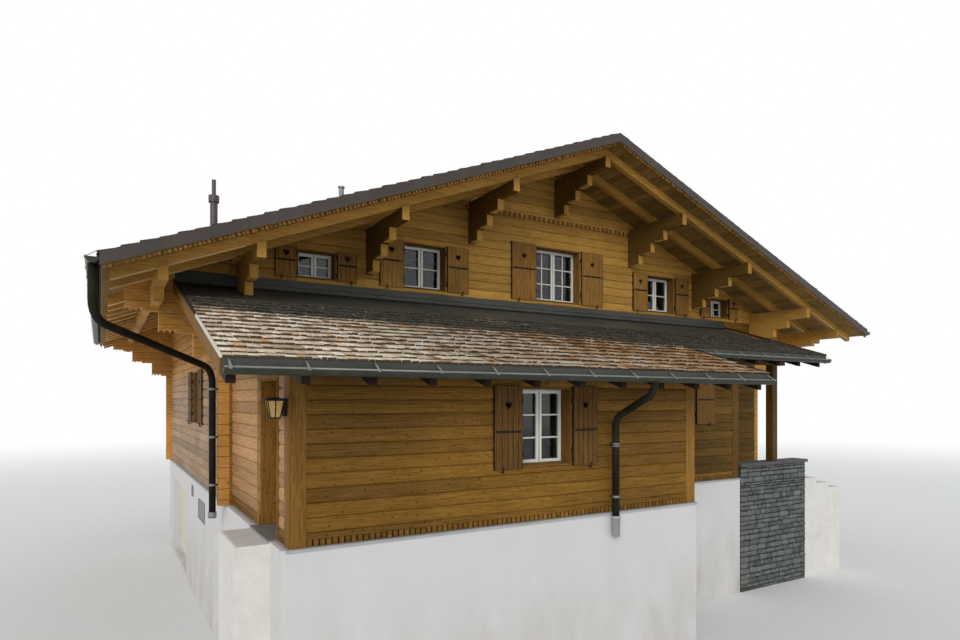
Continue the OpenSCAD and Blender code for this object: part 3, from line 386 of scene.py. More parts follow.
def dark_joints(bench, run, pitch, start, depth, value, pattern):
    """Dark lines at every pitch along a run, as on planks: the distance to the nearest line is a
    wave that goes up and down over the run. The lines lower both the lightness and the bump."""
    away = bench.math("PINGPONG", run, pitch / 2)
    line = bench.spread(away, start, start + 0.006, 1.0, 0.0, True)
    return (bench.math("SUBTRACT", value, bench.math("MULTIPLY", line, depth)),
            bench.math("SUBTRACT", pattern, bench.math("MULTIPLY", line, 3.0)))


print("wood figure ready")

# %% [markdown]
# ## Light and shade on timber
# Timber under a deep roof ages unevenly: its upper parts stay golden, and what the rain reaches
# turns silver or brown. Light and shade are painted in here as well: painted shade on the sides
# of the brackets under the roof and on timbers low in the recess, and painted light on the gable's
# shutters. So the finish gets lighter or darker by height, by side and by the way a face looks.

# %% Painted light and shade on timber
def painted_light_and_shade(bench, value, flank_shade, shade):
    """Painted light and shade: lightness times a share. flank_shade: the share left on the sides
    and undersides of timbers in the gable, as painted shade. shade: the shares below the lean-to's
    top, left and right of the ridge line, and above it; below 1 they paint shade, above 1 light."""
    x, _, z = bench.parts(bench.place())
    # painted shade: the sides and undersides of timbers in the gable are darkened
    if flank_shade < 1.0:
        nx, _, nz = bench.parts(bench.facing())
        steepest = bench.math("MAXIMUM", bench.math("ABSOLUTE", nx), bench.math("ABSOLUTE", nz))
        sideways = bench.math("GREATER_THAN", steepest, 0.5)
        dim = bench.spread(bench.math("ABSOLUTE", x), 5.4, 6.2, flank_shade, 1.0)
        value = bench.math("MULTIPLY", value, bench.spread(sideways, 0.0, 1.0, 1.0, dim))
    # painted shade and painted light by height, and by side of x = 0.3 to 1.2
    if shade:
        low_left, low_right, high = shade
        low = bench.spread(x, 0.3, 1.2, low_left, low_right)
        value = bench.math("MULTIPLY", value, bench.spread(z, 5.4, 6.4, low, high, True))
    return value


STOPS = (0.28, 0.52, 0.76)  # where a timber's dark, middle and light tint lie on its pattern


def timber(name, slot, dark, middle, light, axis=None, knots=1.0, grooves=0.0, flank_shade=1.0,
           courses=0.0, shade=None, sheltered=None):
    """A wood finish in three tints. Sheltered gives three others for the wall under the eaves."""
    bench = Bench(name, slot, Specular_IOR_Level=0.14)
    here = bench.place()
    x, y, z = bench.parts(here)
    pattern, heart, tone = wood_figure(bench, axis, knots)
    colour = bench.ramp(pattern, list(zip(STOPS, (dark, middle, light))))
    if sheltered:
        fresh = bench.ramp(pattern, list(zip(STOPS, sheltered)))
        colour = bench.mix(bench.spread(z, 4.5, 5.4, 0.0, 1.0, True), colour, fresh)
    colour = bench.mix(heart, colour, tuple(0.95 * c for c in dark))
    blotch = bench.spread(bench.noise(here, 0.45), 0.3, 0.7, -0.25, 0.125)
    value = bench.math("ADD", bench.spread(tone, 0.0, 1.0, 0.76, 1.20), blotch)
    value = painted_light_and_shade(bench, value, flank_shade, shade)
    if courses:
        value, pattern = dark_joints(bench, z, courses, 0.002, 0.62, value, pattern)
    if grooves:
        front = bench.math("ABSOLUTE", bench.parts(bench.facing())[1])
        front = bench.math("GREATER_THAN", front, 0.5)
        run = bench.add("ShaderNodeMix", {0: front, 2: y, 3: x}).outputs[0]
        value, pattern = dark_joints(bench, run, grooves, 0.001, 0.6, value, pattern)
    rough = bench.spread(pattern, 0.2, 0.9, 0.74, 0.52)
    return bench.join(bench.tint(colour, value), rough, pattern, depth=0.003, strength=0.35)


print("timber finish ready")

# %% [markdown]
# ## The timbers of this house
# One larch house has many browns: gold in the gable, brown near the ground, silver on the left
# wall. Some are painted shade: the nearly black of the lean-to's rafters and of dark strips set
# where shadow falls, and the darker boards of the recess under the porch roof. Each is the same
# finish with three tints of its own, from the dark lines to the light wood, and a few marks such
# as grooves between planks or joints of logs.

# %% Tints and timbers
HONEY = ((0.110, 0.047, 0.009), (0.245, 0.115, 0.020), (0.355, 0.182, 0.042))
LARCH = tuple((0.75 * r, 0.77 * g, 0.60 * b) for r, g, b in HONEY)
# SHADED: the honey tint darkened as painted shade, for the recess under the porch roof
SHADED = tuple((0.54 * r, 0.61 * g, 0.46 * b) for r, g, b in HONEY)
GOLD = ((0.25, 0.122, 0.024), (0.47, 0.250, 0.050), (0.60, 0.355, 0.088))
SILVERED = ((0.21, 0.125, 0.070), (0.40, 0.262, 0.160), (0.53, 0.385, 0.260))
RUSSET = ((0.25, 0.125, 0.046), (0.45, 0.245, 0.102), (0.59, 0.365, 0.180))
AMBER = ((0.32, 0.142, 0.030), (0.58, 0.278, 0.062), (0.72, 0.400, 0.110))
EDGE_HIGHLIGHT = ((0.66, 0.400, 0.180), (0.88, 0.600, 0.310), (0.94, 0.700, 0.420))
BROWN = ((0.075, 0.034, 0.009), (0.185, 0.090, 0.019), (0.290, 0.155, 0.038))
# OLIVE: the soffits' wood with a green cast, painted bounce light from the grass
OLIVE = ((0.12, 0.066, 0.018), (0.260, 0.155, 0.042), (0.370, 0.240, 0.078))
# SHADOW_BROWN: near-black painted shade, for the lean-to's rafters under its eaves and for strips
# set where shadow falls
SHADOW_BROWN = ((0.012, 0.007, 0.004), (0.027, 0.016, 0.009), (0.048, 0.030, 0.017))
board_wood = timber("wall_boards_larch", "wall_timber", *LARCH)
recess_wood = timber("recess_boards_larch", "wall_timber", *SHADED)
gable_wood = timber("gable_boards_larch", "wall_timber", *GOLD)
sunny_wood = timber("silvered_boards", "wall_timber", *SILVERED, sheltered=AMBER)
russet_wood = timber("russet_boards", "wall_timber", *RUSSET)
trim_wood = timber("trim_larch", "trim_timber", *HONEY)
soffit_wood = timber("soffit_boards", "trim_timber", *OLIVE, knots=0.7)
highlight_wood = timber("painted_edge_highlights", "trim_timber", *EDGE_HIGHLIGHT, knots=0.1)
shadow_trim = timber("painted_shadow_trim", "trim_timber", *SHADOW_BROWN, knots=0.2)
wall_wood = timber("wall_core_larch", "wall_timber", *HONEY, axis="x")
floor_wood = timber("floor_planks", "floor_timber", *HONEY, axis="y")
# the brackets' sides and undersides get painted shade through flank_shade
bracket_wood = timber("bracket_logs", "log_timber", *GOLD, axis="y", flank_shade=0.30)
corbel_wood = timber("corbel_logs", "log_timber", *AMBER, axis="x", courses=0.18)
rafter_wood = timber("rafters_golden", "log_timber", *GOLD, axis="x")
# the lean-to's rafter tails under its eaves: painted shade
shadow_rafter_wood = timber("rafters_in_painted_shade", "log_timber", *SHADOW_BROWN, axis="y", knots=0.2)
# uprights low on the right, in the recess and porch, get painted shade
post_wood = timber("upright_timbers", "trim_timber", *HONEY, axis="z", shade=(1.0, 0.5, 1.0))
# shutters get painted shade low on the left, are lighter low on the right, and get painted light in
# the gable
shutter_wood = timber("shutter_boards", "shutter_timber", *BROWN, axis="z", knots=0.4,
                      grooves=0.092, shade=(0.62, 1.15, 1.50))
door_wood = timber("door_leaf", "door_timber", *BROWN, axis="z", knots=0.3, grooves=0.13)
door_trim = timber("door_planks", "door_timber", *BROWN, knots=0.3)
print("finishes with the timbers:", finishes())

# %% [markdown]
# ## Shingles
# Split larch shingles turn silver within a few winters, and brown where water stays. A picture of
# a roof would repeat itself, and one number for each shingle doesn't. The number picks the
# shingle's place between silver, straw and brown, and streaks run down it. Its foot is dark end
# grain, darkened further as painted shade.

# %% The colour of a shingle
def shingle_colour(bench, lean_to):
    """Two ramps over the shingle's own tone, silver and rust, are mixed by a slow drift over the
    roof, then darkened by streaks along the grain. On the lean-to, painted sunlight lightens the
    left end and painted shade darkens the rest. Returns the colour and the streaks."""
    here = bench.place()
    x = bench.parts(here)[0]
    tone = bench.tone()
    streak = bench.noise(bench.grain(), 1.0, detail=4.0, rough=0.7, stretch=(5.0, 70.0, 1.0))
    silver = bench.ramp(tone, [(0.0, (0.085, 0.060, 0.040)), (0.01, (0.24, 0.185, 0.125)),
                               (0.16, (0.46, 0.390, 0.300)), (0.6, (0.66, 0.590, 0.490)),
                               (0.93, (0.74, 0.690, 0.610)), (1.0, (0.50, 0.270, 0.110))])
    rust = bench.ramp(tone, [(0.0, (0.070, 0.040, 0.022)), (0.01, (0.18, 0.095, 0.045)),
                             (0.25, (0.40, 0.225, 0.100)), (0.6, (0.54, 0.360, 0.200)),
                             (0.85, (0.70, 0.620, 0.520)), (1.0, (0.50, 0.210, 0.060))])
    drift = bench.math("MULTIPLY", bench.noise(here, 0.7, detail=2.0), 6.0)
    if lean_to:
        warm = bench.spread(bench.math("ADD", drift, x), -3.0, 3.6, 0.0, 1.0, True)
    else:
        warm = bench.spread(drift, 2.2, 3.8, 0.15, 0.85, True)
    colour = bench.mix(warm, silver, rust)
    streaked = bench.mix(1.0, colour, (0.62, 0.55, 0.48), "MULTIPLY")
    colour = bench.mix(bench.spread(streak, 0.36, 0.60), streaked, colour)
    # painted sunlight on the lean-to's left end, and painted shade further right
    if lean_to:
        painted_sun_and_shade = bench.spread(x, -7.0, -3.6, 1.36, 0.86, True)
        return bench.tint(colour, painted_sun_and_shade, saturation=1.12), streak
    return bench.mix(1.0, colour, (0.50, 0.47, 0.43), "MULTIPLY"), streak


print("shingle colours ready")

# %% [markdown]
# ## Moss, and painted shadow on the lean-to
# Moss turns shingles black-green in patches, and most of all where they stay wet: along the
# verges. On the lean-to, a band under the wall is painted shadow of the house's roof, drawn in
# the moss's dark colour, with real moss in it too. Moss could be modelled in tufts, but from a few
# metres it is only a colour. So a noise chooses the patches, and the wet edges and the shadow band
# are added to that noise.

# %% Moss, and the two shingle finishes
def mossy(bench, colour, grows_from, grows_to, lean_to):
    """Moss grows where patch + 0.75 * speck + wet_and_shadow rises from one level to another. On
    the lean-to this adds the band of painted shadow under the wall.
    """
    here = bench.place()
    x, y, _ = bench.parts(here)
    patch = bench.noise(here, 0.8, detail=5.0, rough=0.65)
    speck = bench.noise(here, 11.0, detail=4.0, rough=0.7)
    grown = bench.math("MULTIPLY_ADD", speck, 0.75, patch)
    if lean_to:
        # painted shadow of the house's roof on the lean-to, as a dark band under the wall
        overhang_shadow = bench.math("MULTIPLY_ADD", x, 0.075, y)
        wet_and_shadow = [bench.spread(overhang_shadow, -2.95, -2.60, 0.0, 0.40, True),
               bench.spread(x, 0.70, 1.10, 0.0, 0.22, True)]
    else:
        from_middle = bench.math("ABSOLUTE", bench.math("SUBTRACT", y, DEPTH / 2))
        wet_and_shadow = [bench.spread(from_middle, 6.55, 6.95, 0.0, 0.5, True)]
    for more in wet_and_shadow:
        grown = bench.math("ADD", grown, more)
    moss = bench.spread(grown, grows_from, grows_to, 0.0, 0.94, True)
    dark, light = (0.020, 0.019, 0.014), (0.060, 0.056, 0.036)
    green = bench.mix(bench.spread(speck, 0.4, 0.65), dark, light)
    fleck = bench.spread(bench.noise(here, 30.0, detail=2.0), 0.64, 0.70, 0.0, 0.8, True)
    green = bench.mix(fleck, green, (0.34, 0.33, 0.27))
    return bench.mix(moss, colour, green)


def shingle_finish(name, grows_from, grows_to, lean_to=False):
    bench = Bench(name, "shingles", Specular_IOR_Level=0.25)
    colour, streak = shingle_colour(bench, lean_to)
    colour = mossy(bench, colour, grows_from, grows_to, lean_to)
    rough = bench.spread(streak, 0.3, 0.7, 0.92, 0.72)
    return bench.join(colour, rough, streak, depth=0.004, strength=0.5)


lean_shingles = shingle_finish("lean_to_shingles", 0.98, 1.16, lean_to=True)
roof_shingles = shingle_finish("roof_shingles", 0.78, 1.12)
print("finishes with the shingles:", finishes())

# %% [markdown]
# ## Render and stone
# Lime render is white, grainy and dull, and the rain splashes it grey near the ground. Stone is
# blotched, and every stone of a rubble wall has a tone of its own. Both could be bought as scans,
# but two noises do: a slow one for the stains, and a fine one for the grains, which also makes the
# bump.

# %% Render and stone finishes
def render_finish():
    """Dirt = stains * (a share that grows towards the ground), mixed into the white."""
    bench = Bench("white_render", "render")
    here = bench.place()
    z = bench.parts(here)[2]
    sand = bench.noise(here, 90.0, detail=4.0, rough=0.7)
    trowel = bench.noise(here, 4.0, detail=2.0)
    stain = bench.noise(here, 1.3, detail=5.0, rough=0.65, stretch=(1, 1, 0.5))
    splashed = bench.math("ADD", bench.spread(z, 0.0, 2.3, 0.55, 0.0, True), 0.14)
    dirt = bench.math("MULTIPLY", bench.spread(stain, 0.35, 0.75, 0.15, 1.0), splashed)
    colour = bench.mix(dirt, (0.66, 0.645, 0.635), (0.36, 0.32, 0.26))
    height = bench.math("MULTIPLY_ADD", trowel, 1.5, sand)
    return bench.join(colour, bench.spread(sand, 0.3, 0.7, 0.82, 0.95), height, 0.004, 0.45)


def stone_finish(name, slot, pale, dark, own_tone=False):
    """From dark to pale by 0.6 * tone + blotch. The tone is each stone's own, or a slow noise."""
    bench = Bench(name, slot)
    here = bench.place()
    blotch = bench.noise(here, 6.0, detail=6.0, rough=0.65)
    speck = bench.noise(here, 55.0, detail=4.0, rough=0.7)
    tone = bench.tone() if own_tone else bench.noise(here, 1.1, detail=1.0)
    share = bench.math("MULTIPLY_ADD", tone, 0.6, bench.spread(blotch, 0.3, 0.7, 0.0, 0.45))
    halfway = tuple((a + b) / 2 for a, b in zip(pale, dark))
    colour = bench.ramp(share, [(0.0, dark), (0.45, halfway), (1.0, pale)])
    colour = bench.tint(colour, bench.spread(speck, 0.3, 0.7, 0.86, 1.08))
    height = bench.math("MULTIPLY_ADD", blotch, 2.5, speck)
    return bench.join(colour, bench.spread(speck, 0.3, 0.7, 0.72, 0.9), height, 0.006, 0.6)


white_render = render_finish()
# rubble_stone: the stones' own grey, darkened as painted shade under the porch roof
rubble = stone_finish("rubble_stone", "parapet_stone", (0.168, 0.180, 0.168),
                      (0.042, 0.046, 0.042), own_tone=True)
mortar = stone_finish("parapet_core", "parapet_stone", (0.022, 0.023, 0.021), (0.012, 0.012, 0.011))
slab_stone = stone_finish("dark_slab", "parapet_stone", (0.11, 0.115, 0.11), (0.045, 0.047, 0.045))
step_stone = stone_finish("pale_step_stone", "step_stone", (0.82, 0.79, 0.745), (0.62, 0.59, 0.54))
print("finishes with render and stones:", finishes())

# %% [markdown]
# ## Metal, paint and glass
# Painted sheet is smooth with faint rain streaks, gutters are dull, iron is rough and nearly
# black, and glass is a thin clear sheet. One simple recipe serves for all: a colour, broken by a
# slow noise of dirt and a fine noise of the surface. What differs is a few numbers and the
# shader's own values.

# %% The simple recipe
def plain(name, slot, colour, stain, scale=3.0, fine=60.0, rough=(0.6, 0.8), depth=0.002, bump=0.3,
          amount=0.5, streaks=(1, 1, 1), **shader):
    """Colour and stain are mixed by a slow noise, up to the amount. A fine noise varies lightness
    and roughness and makes the bump. Streaks stretch the slow noise along an axis."""
    bench = Bench(name, slot, **shader)
    here = bench.place()
    dirt = bench.noise(here, scale, detail=5.0, rough=0.6, stretch=streaks)
    speck = bench.noise(here, fine)
    stained = bench.mix(bench.spread(dirt, 0.38, 0.72, 0.0, amount, True), colour, stain)
    stained = bench.tint(stained, bench.spread(speck, 0.3, 0.7, 0.93, 1.05))
    return bench.join(stained, bench.spread(speck, 0.3, 0.7, *rough), speck, depth, bump)


concrete = plain("cellar_concrete", "concrete", (0.40, 0.39, 0.37), (0.27, 0.26, 0.24), fine=40.0)
# near-black roof slabs: their undersides and edges that show get painted shade
roof_bed_in_shade = plain("roof_bed_in_shade", "shingles", (0.034, 0.027, 0.020), (0.060, 0.048, 0.036),
                    rough=(0.85, 0.95))
print("plain finishes:", concrete.name, roof_bed_in_shade.name)

# %% [markdown]
# ## Nine metals
# The verges are painted purple-brown, the gutters grey-green and the pipes nearly black, and the
# sheets on ledges and flashings are pale or dark. One grey metal for all would be simpler, but
# these colours are what sets the pieces apart from afar. Paint and weather hide the metal, so most
# of them are dull and hardly metallic.

# %% Metals
SHEET = {"fine": 30.0, "depth": 0.001, "bump": 0.12}
verge_paint = plain("purple_brown_metal", "purple_metal", (0.056, 0.044, 0.039),
                    (0.085, 0.068, 0.058), scale=2.0, fine=25.0, rough=(0.40, 0.55), depth=0.001,
                    bump=0.12, streaks=(1, 1, 0.3), Specular_IOR_Level=0.25)
flue_metal = plain("purple_grey_tube", "purple_metal", (0.074, 0.057, 0.056),
                   (0.100, 0.078, 0.072), scale=4.0, rough=(0.42, 0.56), Metallic=0.2, **SHEET)
grey_sheet = plain("grey_sheet", "sheet_metal", (0.22, 0.235, 0.235), (0.14, 0.15, 0.14), scale=1.6,
                   rough=(0.42, 0.58), streaks=(3, 0.6, 1), Metallic=0.3, **SHEET)
roof_sheet = plain("dark_roof_sheet", "sheet_metal", (0.072, 0.073, 0.060), (0.034, 0.035, 0.029),
                   scale=1.3, fine=30.0, rough=(0.48, 0.62), depth=0.001, bump=0.15, amount=0.7,
                   streaks=(0.6, 0.6, 3), Specular_IOR_Level=0.25)
ledge_sheet = plain("pale_ledge_sheet", "sheet_metal", (0.40, 0.40, 0.41), (0.28, 0.28, 0.28),
                    scale=2.0, rough=(0.45, 0.6), **SHEET)
gutter_paint = plain("grey_green_gutter", "gutter_metal", (0.029, 0.033, 0.022),
                     (0.055, 0.060, 0.042), scale=5.0, rough=(0.36, 0.5), Specular_IOR_Level=0.25,
                     **SHEET)
bead_metal = plain("bright_bead", "gutter_metal", (0.21, 0.225, 0.19), (0.11, 0.12, 0.10),
                   scale=6.0, rough=(0.32, 0.45), depth=0.001, bump=0.1, Metallic=0.3)
pipe_paint = plain("dark_pipe", "pipe_metal", (0.014, 0.012, 0.008), (0.036, 0.031, 0.021),
                   scale=2.5, fine=25.0, rough=(0.5, 0.65), depth=0.001, bump=0.1,
                   Specular_IOR_Level=0.06)
black_iron = plain("black_iron", "black_iron", (0.012, 0.011, 0.010), (0.040, 0.028, 0.021),
                   scale=14.0, fine=70.0, rough=(0.55, 0.7), depth=0.001, Specular_IOR_Level=0.14)
print("finishes with the metals:", finishes())

# %% [markdown]
# ## Paint and glass
# The window frames are white and the garage door is cream, both a little yellow, as old paint is.
# Glass could be mixed from a clear and a mirroring shader. The Principled shader already does that
# with its transmission and its index of refraction, so two values are enough. The lantern's panes
# let little light through, which gives them their amber colour.

# %% Paint and glass
white_paint = plain("white_paint", "white_paint", (0.77, 0.755, 0.685), (0.62, 0.60, 0.52),
                    scale=4.0, fine=45.0, rough=(0.36, 0.5), depth=0.0008, bump=0.15, amount=0.35)
cream_paint = plain("cream_paint", "cream_paint", (0.66, 0.615, 0.52), (0.50, 0.46, 0.38),
                    scale=2.0, fine=40.0, rough=(0.4, 0.55), depth=0.0008, bump=0.12, amount=0.4)
glass = plain("window_glass", "glass", (0.62, 0.68, 0.70), (0.56, 0.62, 0.64), scale=2.0, fine=6.0,
              rough=(0.03, 0.06), depth=0.0004, bump=0.05, amount=0.3, Transmission_Weight=1.0,
              IOR=1.45)
amber = plain("amber_pane", "glass", (0.72, 0.44, 0.10), (0.46, 0.28, 0.08), scale=9.0, fine=50.0,
              rough=(0.2, 0.3), depth=0.001, bump=0.2, Transmission_Weight=0.15)
print("finishes in all:", finishes())

# %% [markdown]
# ## Finishes on the CAD parts
# A CAD part keeps its mesh and its place. Only the material in its slot changes. That could be
# done part by part, where each finish is made. A single list of finishes, with the names of the
# parts that wear them, shows at a glance what is left out.

# %% Dress the CAD parts
WEAR = {
    white_render: ["plinth_cross_walls", "plinth_side_walls", "plinth_lintel", "cellar_floor"],
    concrete: ["porch_base"],
    mortar: ["parapet"],
    slab_stone: ["parapet_cap"],
    step_stone: ["porch_steps", "door_step"],
    floor_wood: ["ground_floor", "upper_floor"],
    wall_wood: ["left_wall", "right_wall", "rear_wall", "gable_wall", "porch_wall",
                "annex_front_wall", "annex_corner_wall", "annex_left_wall", "door_header",
                "annex_right_wall", "recess_wall", "recess_side_wall", "eave_boards"],
    post_wood: ["corner_boards", "porch_frame", "door_frame"],
    corbel_wood: ["corbels"],
    rafter_wood: ["rafters_left", "rafters_right", "gable_beam"],
    bracket_wood: ["purlins", "wall_plates"],
    shadow_rafter_wood: ["lean_to_rafters"],
    roof_bed_in_shade: ["roof_left", "roof_right", "annex_roof", "porch_roof"],
    verge_paint: ["verge_metal", "ridge_cap"],
    flue_metal: ["flue"],
    roof_sheet: ["flashing"],
    grey_sheet: ["door_sill", "roof_vent"],
    gutter_paint: ["gutters"],
    pipe_paint: ["downpipes"],
    white_paint: ["window_frames"],
    glass: ["window_glass"],
    shutter_wood: ["shutters"],
    door_wood: ["entrance_door"],
    black_iron: ["door_ironwork", "hinge_pins", "lantern"],
    cream_paint: ["garage_door"],
}
for finish, names in WEAR.items():
    for name in names:
        materials = nodes[name].data.materials
        materials.clear()
        materials.append(finish)
undressed = set(nodes) - {name for names in WEAR.values() for name in names}
print("parts without a finish:", sorted(undressed))

# %% [markdown]
# ## Boards on the walls
# The timber walls show horizontal boards 18 cm high, slightly crowned, with rounded edges that
# leave a dark joint. A bump could draw the joints on the flat wall, but only real boards catch the
# light on their edges. So every board is a bar. Each course of them is cut at the windows and the
# doorway.

# %% The outline of a board, and the lengths in one course
BOARD_T, BOARD_R, BOARD_PITCH = 0.019, 0.011, 0.18


def board_section(height, thick=BOARD_T, edge=BOARD_R, crown=0.007):
    """Outline of a board, one for each height: flat back, round edges, face raised by the crown."""
    h = np.atleast_1d(height)[:, None]
    p = np.concatenate([0 * h, h, h, h - edge, h * 0.68, h * 0.32, 0 * h + edge, 0 * h], 1)
    q = np.array([0, 0, thick - edge, thick, thick + crown, thick + crown, thick, thick - edge])
    return np.stack([p, np.broadcast_to(q, p.shape)], -1)


def cut_course(a, b, low, high, holes):
    """The lengths of one course between a and b, less the openings, with the low boards that run
    over and under an opening which covers only part of the course."""
    lengths, at = [], a
    for u0, u1, v0, v1 in sorted(holes):
        if v0 < high - 0.005 and v1 > low + 0.005 and u1 > a and u0 < b:
            if u0 > at:
                lengths.append((at, u0, low, high))
            if v0 > low + 0.02:
                lengths.append((u0, u1, low, v0))
            if v1 < high - 0.02:
                lengths.append((u0, u1, v1, high))
            at = max(at, u1)
    if b > at:
        lengths.append((at, b, low, high))
    return lengths


cut = cut_course(0.0, 6.0, 0.0, BOARD_PITCH, [(2.0, 3.0, -1.0, 1.0)])
print("a course of 6 m with one window:", [length[:2] for length in cut])

# %% [markdown]
# ## Cladding a wall
# Real boards are 3 to 5 m long, so a long course has a butt joint or two, at another place in each
# course. Under a roof their ends are cut aslant. The two ends of a course are therefore functions
# of height: asked at the foot and at the top of the course, they also tell how the cut leans.

# %% Cladding one wall face
def clad(origin, along, outward, left, right, low, high, holes=()):
    """Boards on one wall face. Left and right give the ends of a course at a height, so a sloping
    edge comes from their difference between the course's foot and its top."""
    courses = max(1, round((high - low) / BOARD_PITCH))
    step = (high - low) / courses
    bars = []
    for i in range(courses):
        v0, v1 = low + i * step, low + (i + 1) * step
        a0, a1, b0, b1 = left(v0), left(v1), right(v0), right(v1)
        if b0 - a0 < 0.15:
            continue
        for u0, u1, w0, w1 in cut_course(a0, b0, v0, v1, holes):
            joints = max(0, int((u1 - u0) / rng.uniform(3.4, 5.2)))
            nth = np.arange(1, joints + 1) + rng.uniform(-0.3, 0.3, joints)
            edges = np.concatenate([[u0], u0 + (u1 - u0) * nth / (joints + 1), [u1]])
            for s, e in zip(edges[:-1], edges[1:]):
                lean_a = (a1 - a0) / step if s == a0 else 0.0
                lean_b = (b1 - b0) / step if e == b0 else 0.0
                at_top = (e - s) + min(0.0, (lean_b - lean_a) * (w1 - w0))
                if e - s > 0.03 and at_top > -0.02:
                    bars.append((s + 0.0008, e - 0.0008, w0, w1, lean_a, lean_b))
    s, e, w0, w1, lean_a, lean_b = np.array(bars).T
    start = np.asarray(origin) + s[:, None] * along + w0[:, None] * Z
    return carry(board_section(w1 - w0 - 0.004), start, (e - s)[:, None] * along, Z, outward,
                 skew=np.stack([lean_a, lean_b], 1))


def holes_on(origin, along, outward):
    """Openings of the windows that lie in this face, as lengths along it and heights."""
    found = []
    for foot, _, out, sill, w, h, _, _ in WINDOWS:
        gap = np.asarray(foot) - origin
        if np.dot(out, outward) > 0.9 and abs(np.dot(gap, outward)) < 0.01:
            u = float(np.dot(gap, along))
            found.append((u - w / 2, u + w / 2, sill, sill + h))
    return found


def fixed(value):
    """An end of the courses that is the same at every height."""
    return lambda height: value


def under_roof(side):
    """The end of a course on a gable: the side wall, or the roof's underside above the eaves."""
    return lambda z: side * min(SIDE, (RIDGE - ROOF_T - z) / ROOF_RISE)


def under_lean(low_end):
    """The outer end of a course under the lean-to's slope, never beyond the wall's own end."""
    return lambda z: max(low_end, (z + LEAN_T - LEAN_TOP) / LEAN_RISE)


print("half a course's length at 8 m:", round(under_roof(1)(8.0), 2))

# %% [markdown]
# ## Boards at the front
# The front has four faces, one behind the other: the annex, the recess, the gable and the wall
# behind the porch. The annex and the recess have side faces too. One big sheet of boards, cut by
# hand, would have to follow every step. Each face is clad by itself instead, from corner board to
# corner board, and ends under the roof in front of it.

# %% Boards at the front
CORNER, FOOT = 0.18, 0.17
UPSTAND_TOP, LEAN_UNDER, PEAK = LEAN_TOP + 0.22, LEAN_TOP - LEAN_T, RIDGE - ROOF_T - 0.1
front = np.zeros(3)
annex_face = np.array([0.0, ANNEX_Y, 0.0])
recess_face = np.array([0.0, RECESS_Y, 0.0])
gable_boards = clad(front, X, -Y, under_roof(-1), under_roof(1), UPSTAND_TOP, PEAK,
                    holes_on(front, X, -Y))
porch_boards = together(
    clad(front, X, -Y, fixed(RECESS_RIGHT), fixed(SIDE), PLINTH, LEAN_UNDER),
    clad(front, X, -Y, fixed(LEAN_RIGHT + 0.01), fixed(SIDE), LEAN_UNDER, UPSTAND_TOP))
annex_boards = clad(annex_face, X, -Y, fixed(ANNEX_LEFT + CORNER), fixed(ANNEX_RIGHT - CORNER),
                    PLINTH + FOOT, lean_z(ANNEX_Y) - LEAN_T, holes_on(annex_face, X, -Y))
recess_boards = clad(recess_face, X, -Y, fixed(ANNEX_RIGHT), fixed(RECESS_RIGHT - CORNER),
                     PLINTH + FOOT, lean_z(RECESS_Y) - LEAN_T, holes_on(recess_face, X, -Y))
annex_side = clad((ANNEX_LEFT, 0, 0), Y, -X, under_lean(ANNEX_Y + CORNER), fixed(0.0),
                  PLINTH + FOOT, LEAN_UNDER - 0.02, [(DOOR_FRONT, DOOR_BACK, 0.0, 4.65)])
annex_inner = clad((ANNEX_RIGHT, 0, 0), Y, X, under_lean(ANNEX_Y + CORNER), fixed(RECESS_Y),
                   PLINTH, lean_z(RECESS_Y) - LEAN_T - 0.02)
recess_inner = clad((RECESS_RIGHT, 0, 0), Y, X, under_lean(RECESS_Y + CORNER), fixed(0.0),
                    PLINTH, LEAN_UNDER - 0.02)
print("faces of the gable's boards:", len(gable_boards[1]), "of the annex's:", len(annex_boards[1]))

# %% [markdown]
# ## Boards at the sides and the rear
# The sides are plain rectangles with one window each, and the rear is a gable like the front. The
# right side could be the left one mirrored, but then both would show the same knots and joints. It
# is clad anew, so its random numbers are its own. Both side walls get the silvered finish, because
# sun and rain reach them.

# %% Boards at the sides and the rear
WALL_TOP = 6.40
left_face, right_face = np.array([-SIDE, 0.0, 0.0]), np.array([SIDE, 0.0, 0.0])
rear_face = np.array([0.0, DEPTH, 0.0])
left_boards = clad(left_face, -Y, -X, fixed(-DEPTH + CORNER), fixed(-CORNER), PLINTH, WALL_TOP,
                   holes_on(left_face, -Y, -X))
right_boards = clad(right_face, Y, X, fixed(CORNER), fixed(DEPTH - CORNER), PLINTH, WALL_TOP,
                    holes_on(right_face, Y, X))
rear_boards = clad(rear_face, -X, Y, under_roof(-1), under_roof(1), PLINTH, PEAK,
                   holes_on(rear_face, -X, Y))
put("gable_boards", gable_boards, gable_wood)
put("annex_boards", together(annex_boards, annex_inner), board_wood)
put("annex_side_boards", annex_side, russet_wood)
put("recess_boards", together(recess_boards, recess_inner, porch_boards), recess_wood)
put("side_wall_boards", together(left_boards, right_boards), sunny_wood)
put("rear_boards", rear_boards, board_wood)

# %% [markdown]
# ## Shingles on both roofs
# A shingle is a thin wedge. Its foot lies on the course below, its head hides under the next one,
# so only 24 cm of it shows. An array modifier would lay them all alike. Here their widths differ
# and their feet don't line up, which makes the ragged courses of an old roof. Each is only six
# faces, because there are thousands of them.

# %% Wedges on a slope
SHOWN = 0.24
HEXAHEDRON = np.array([[0, 1, 3, 2], [4, 6, 7, 5], [0, 4, 5, 1], [2, 3, 7, 6], [0, 2, 6, 4],
                       [1, 5, 7, 3]])


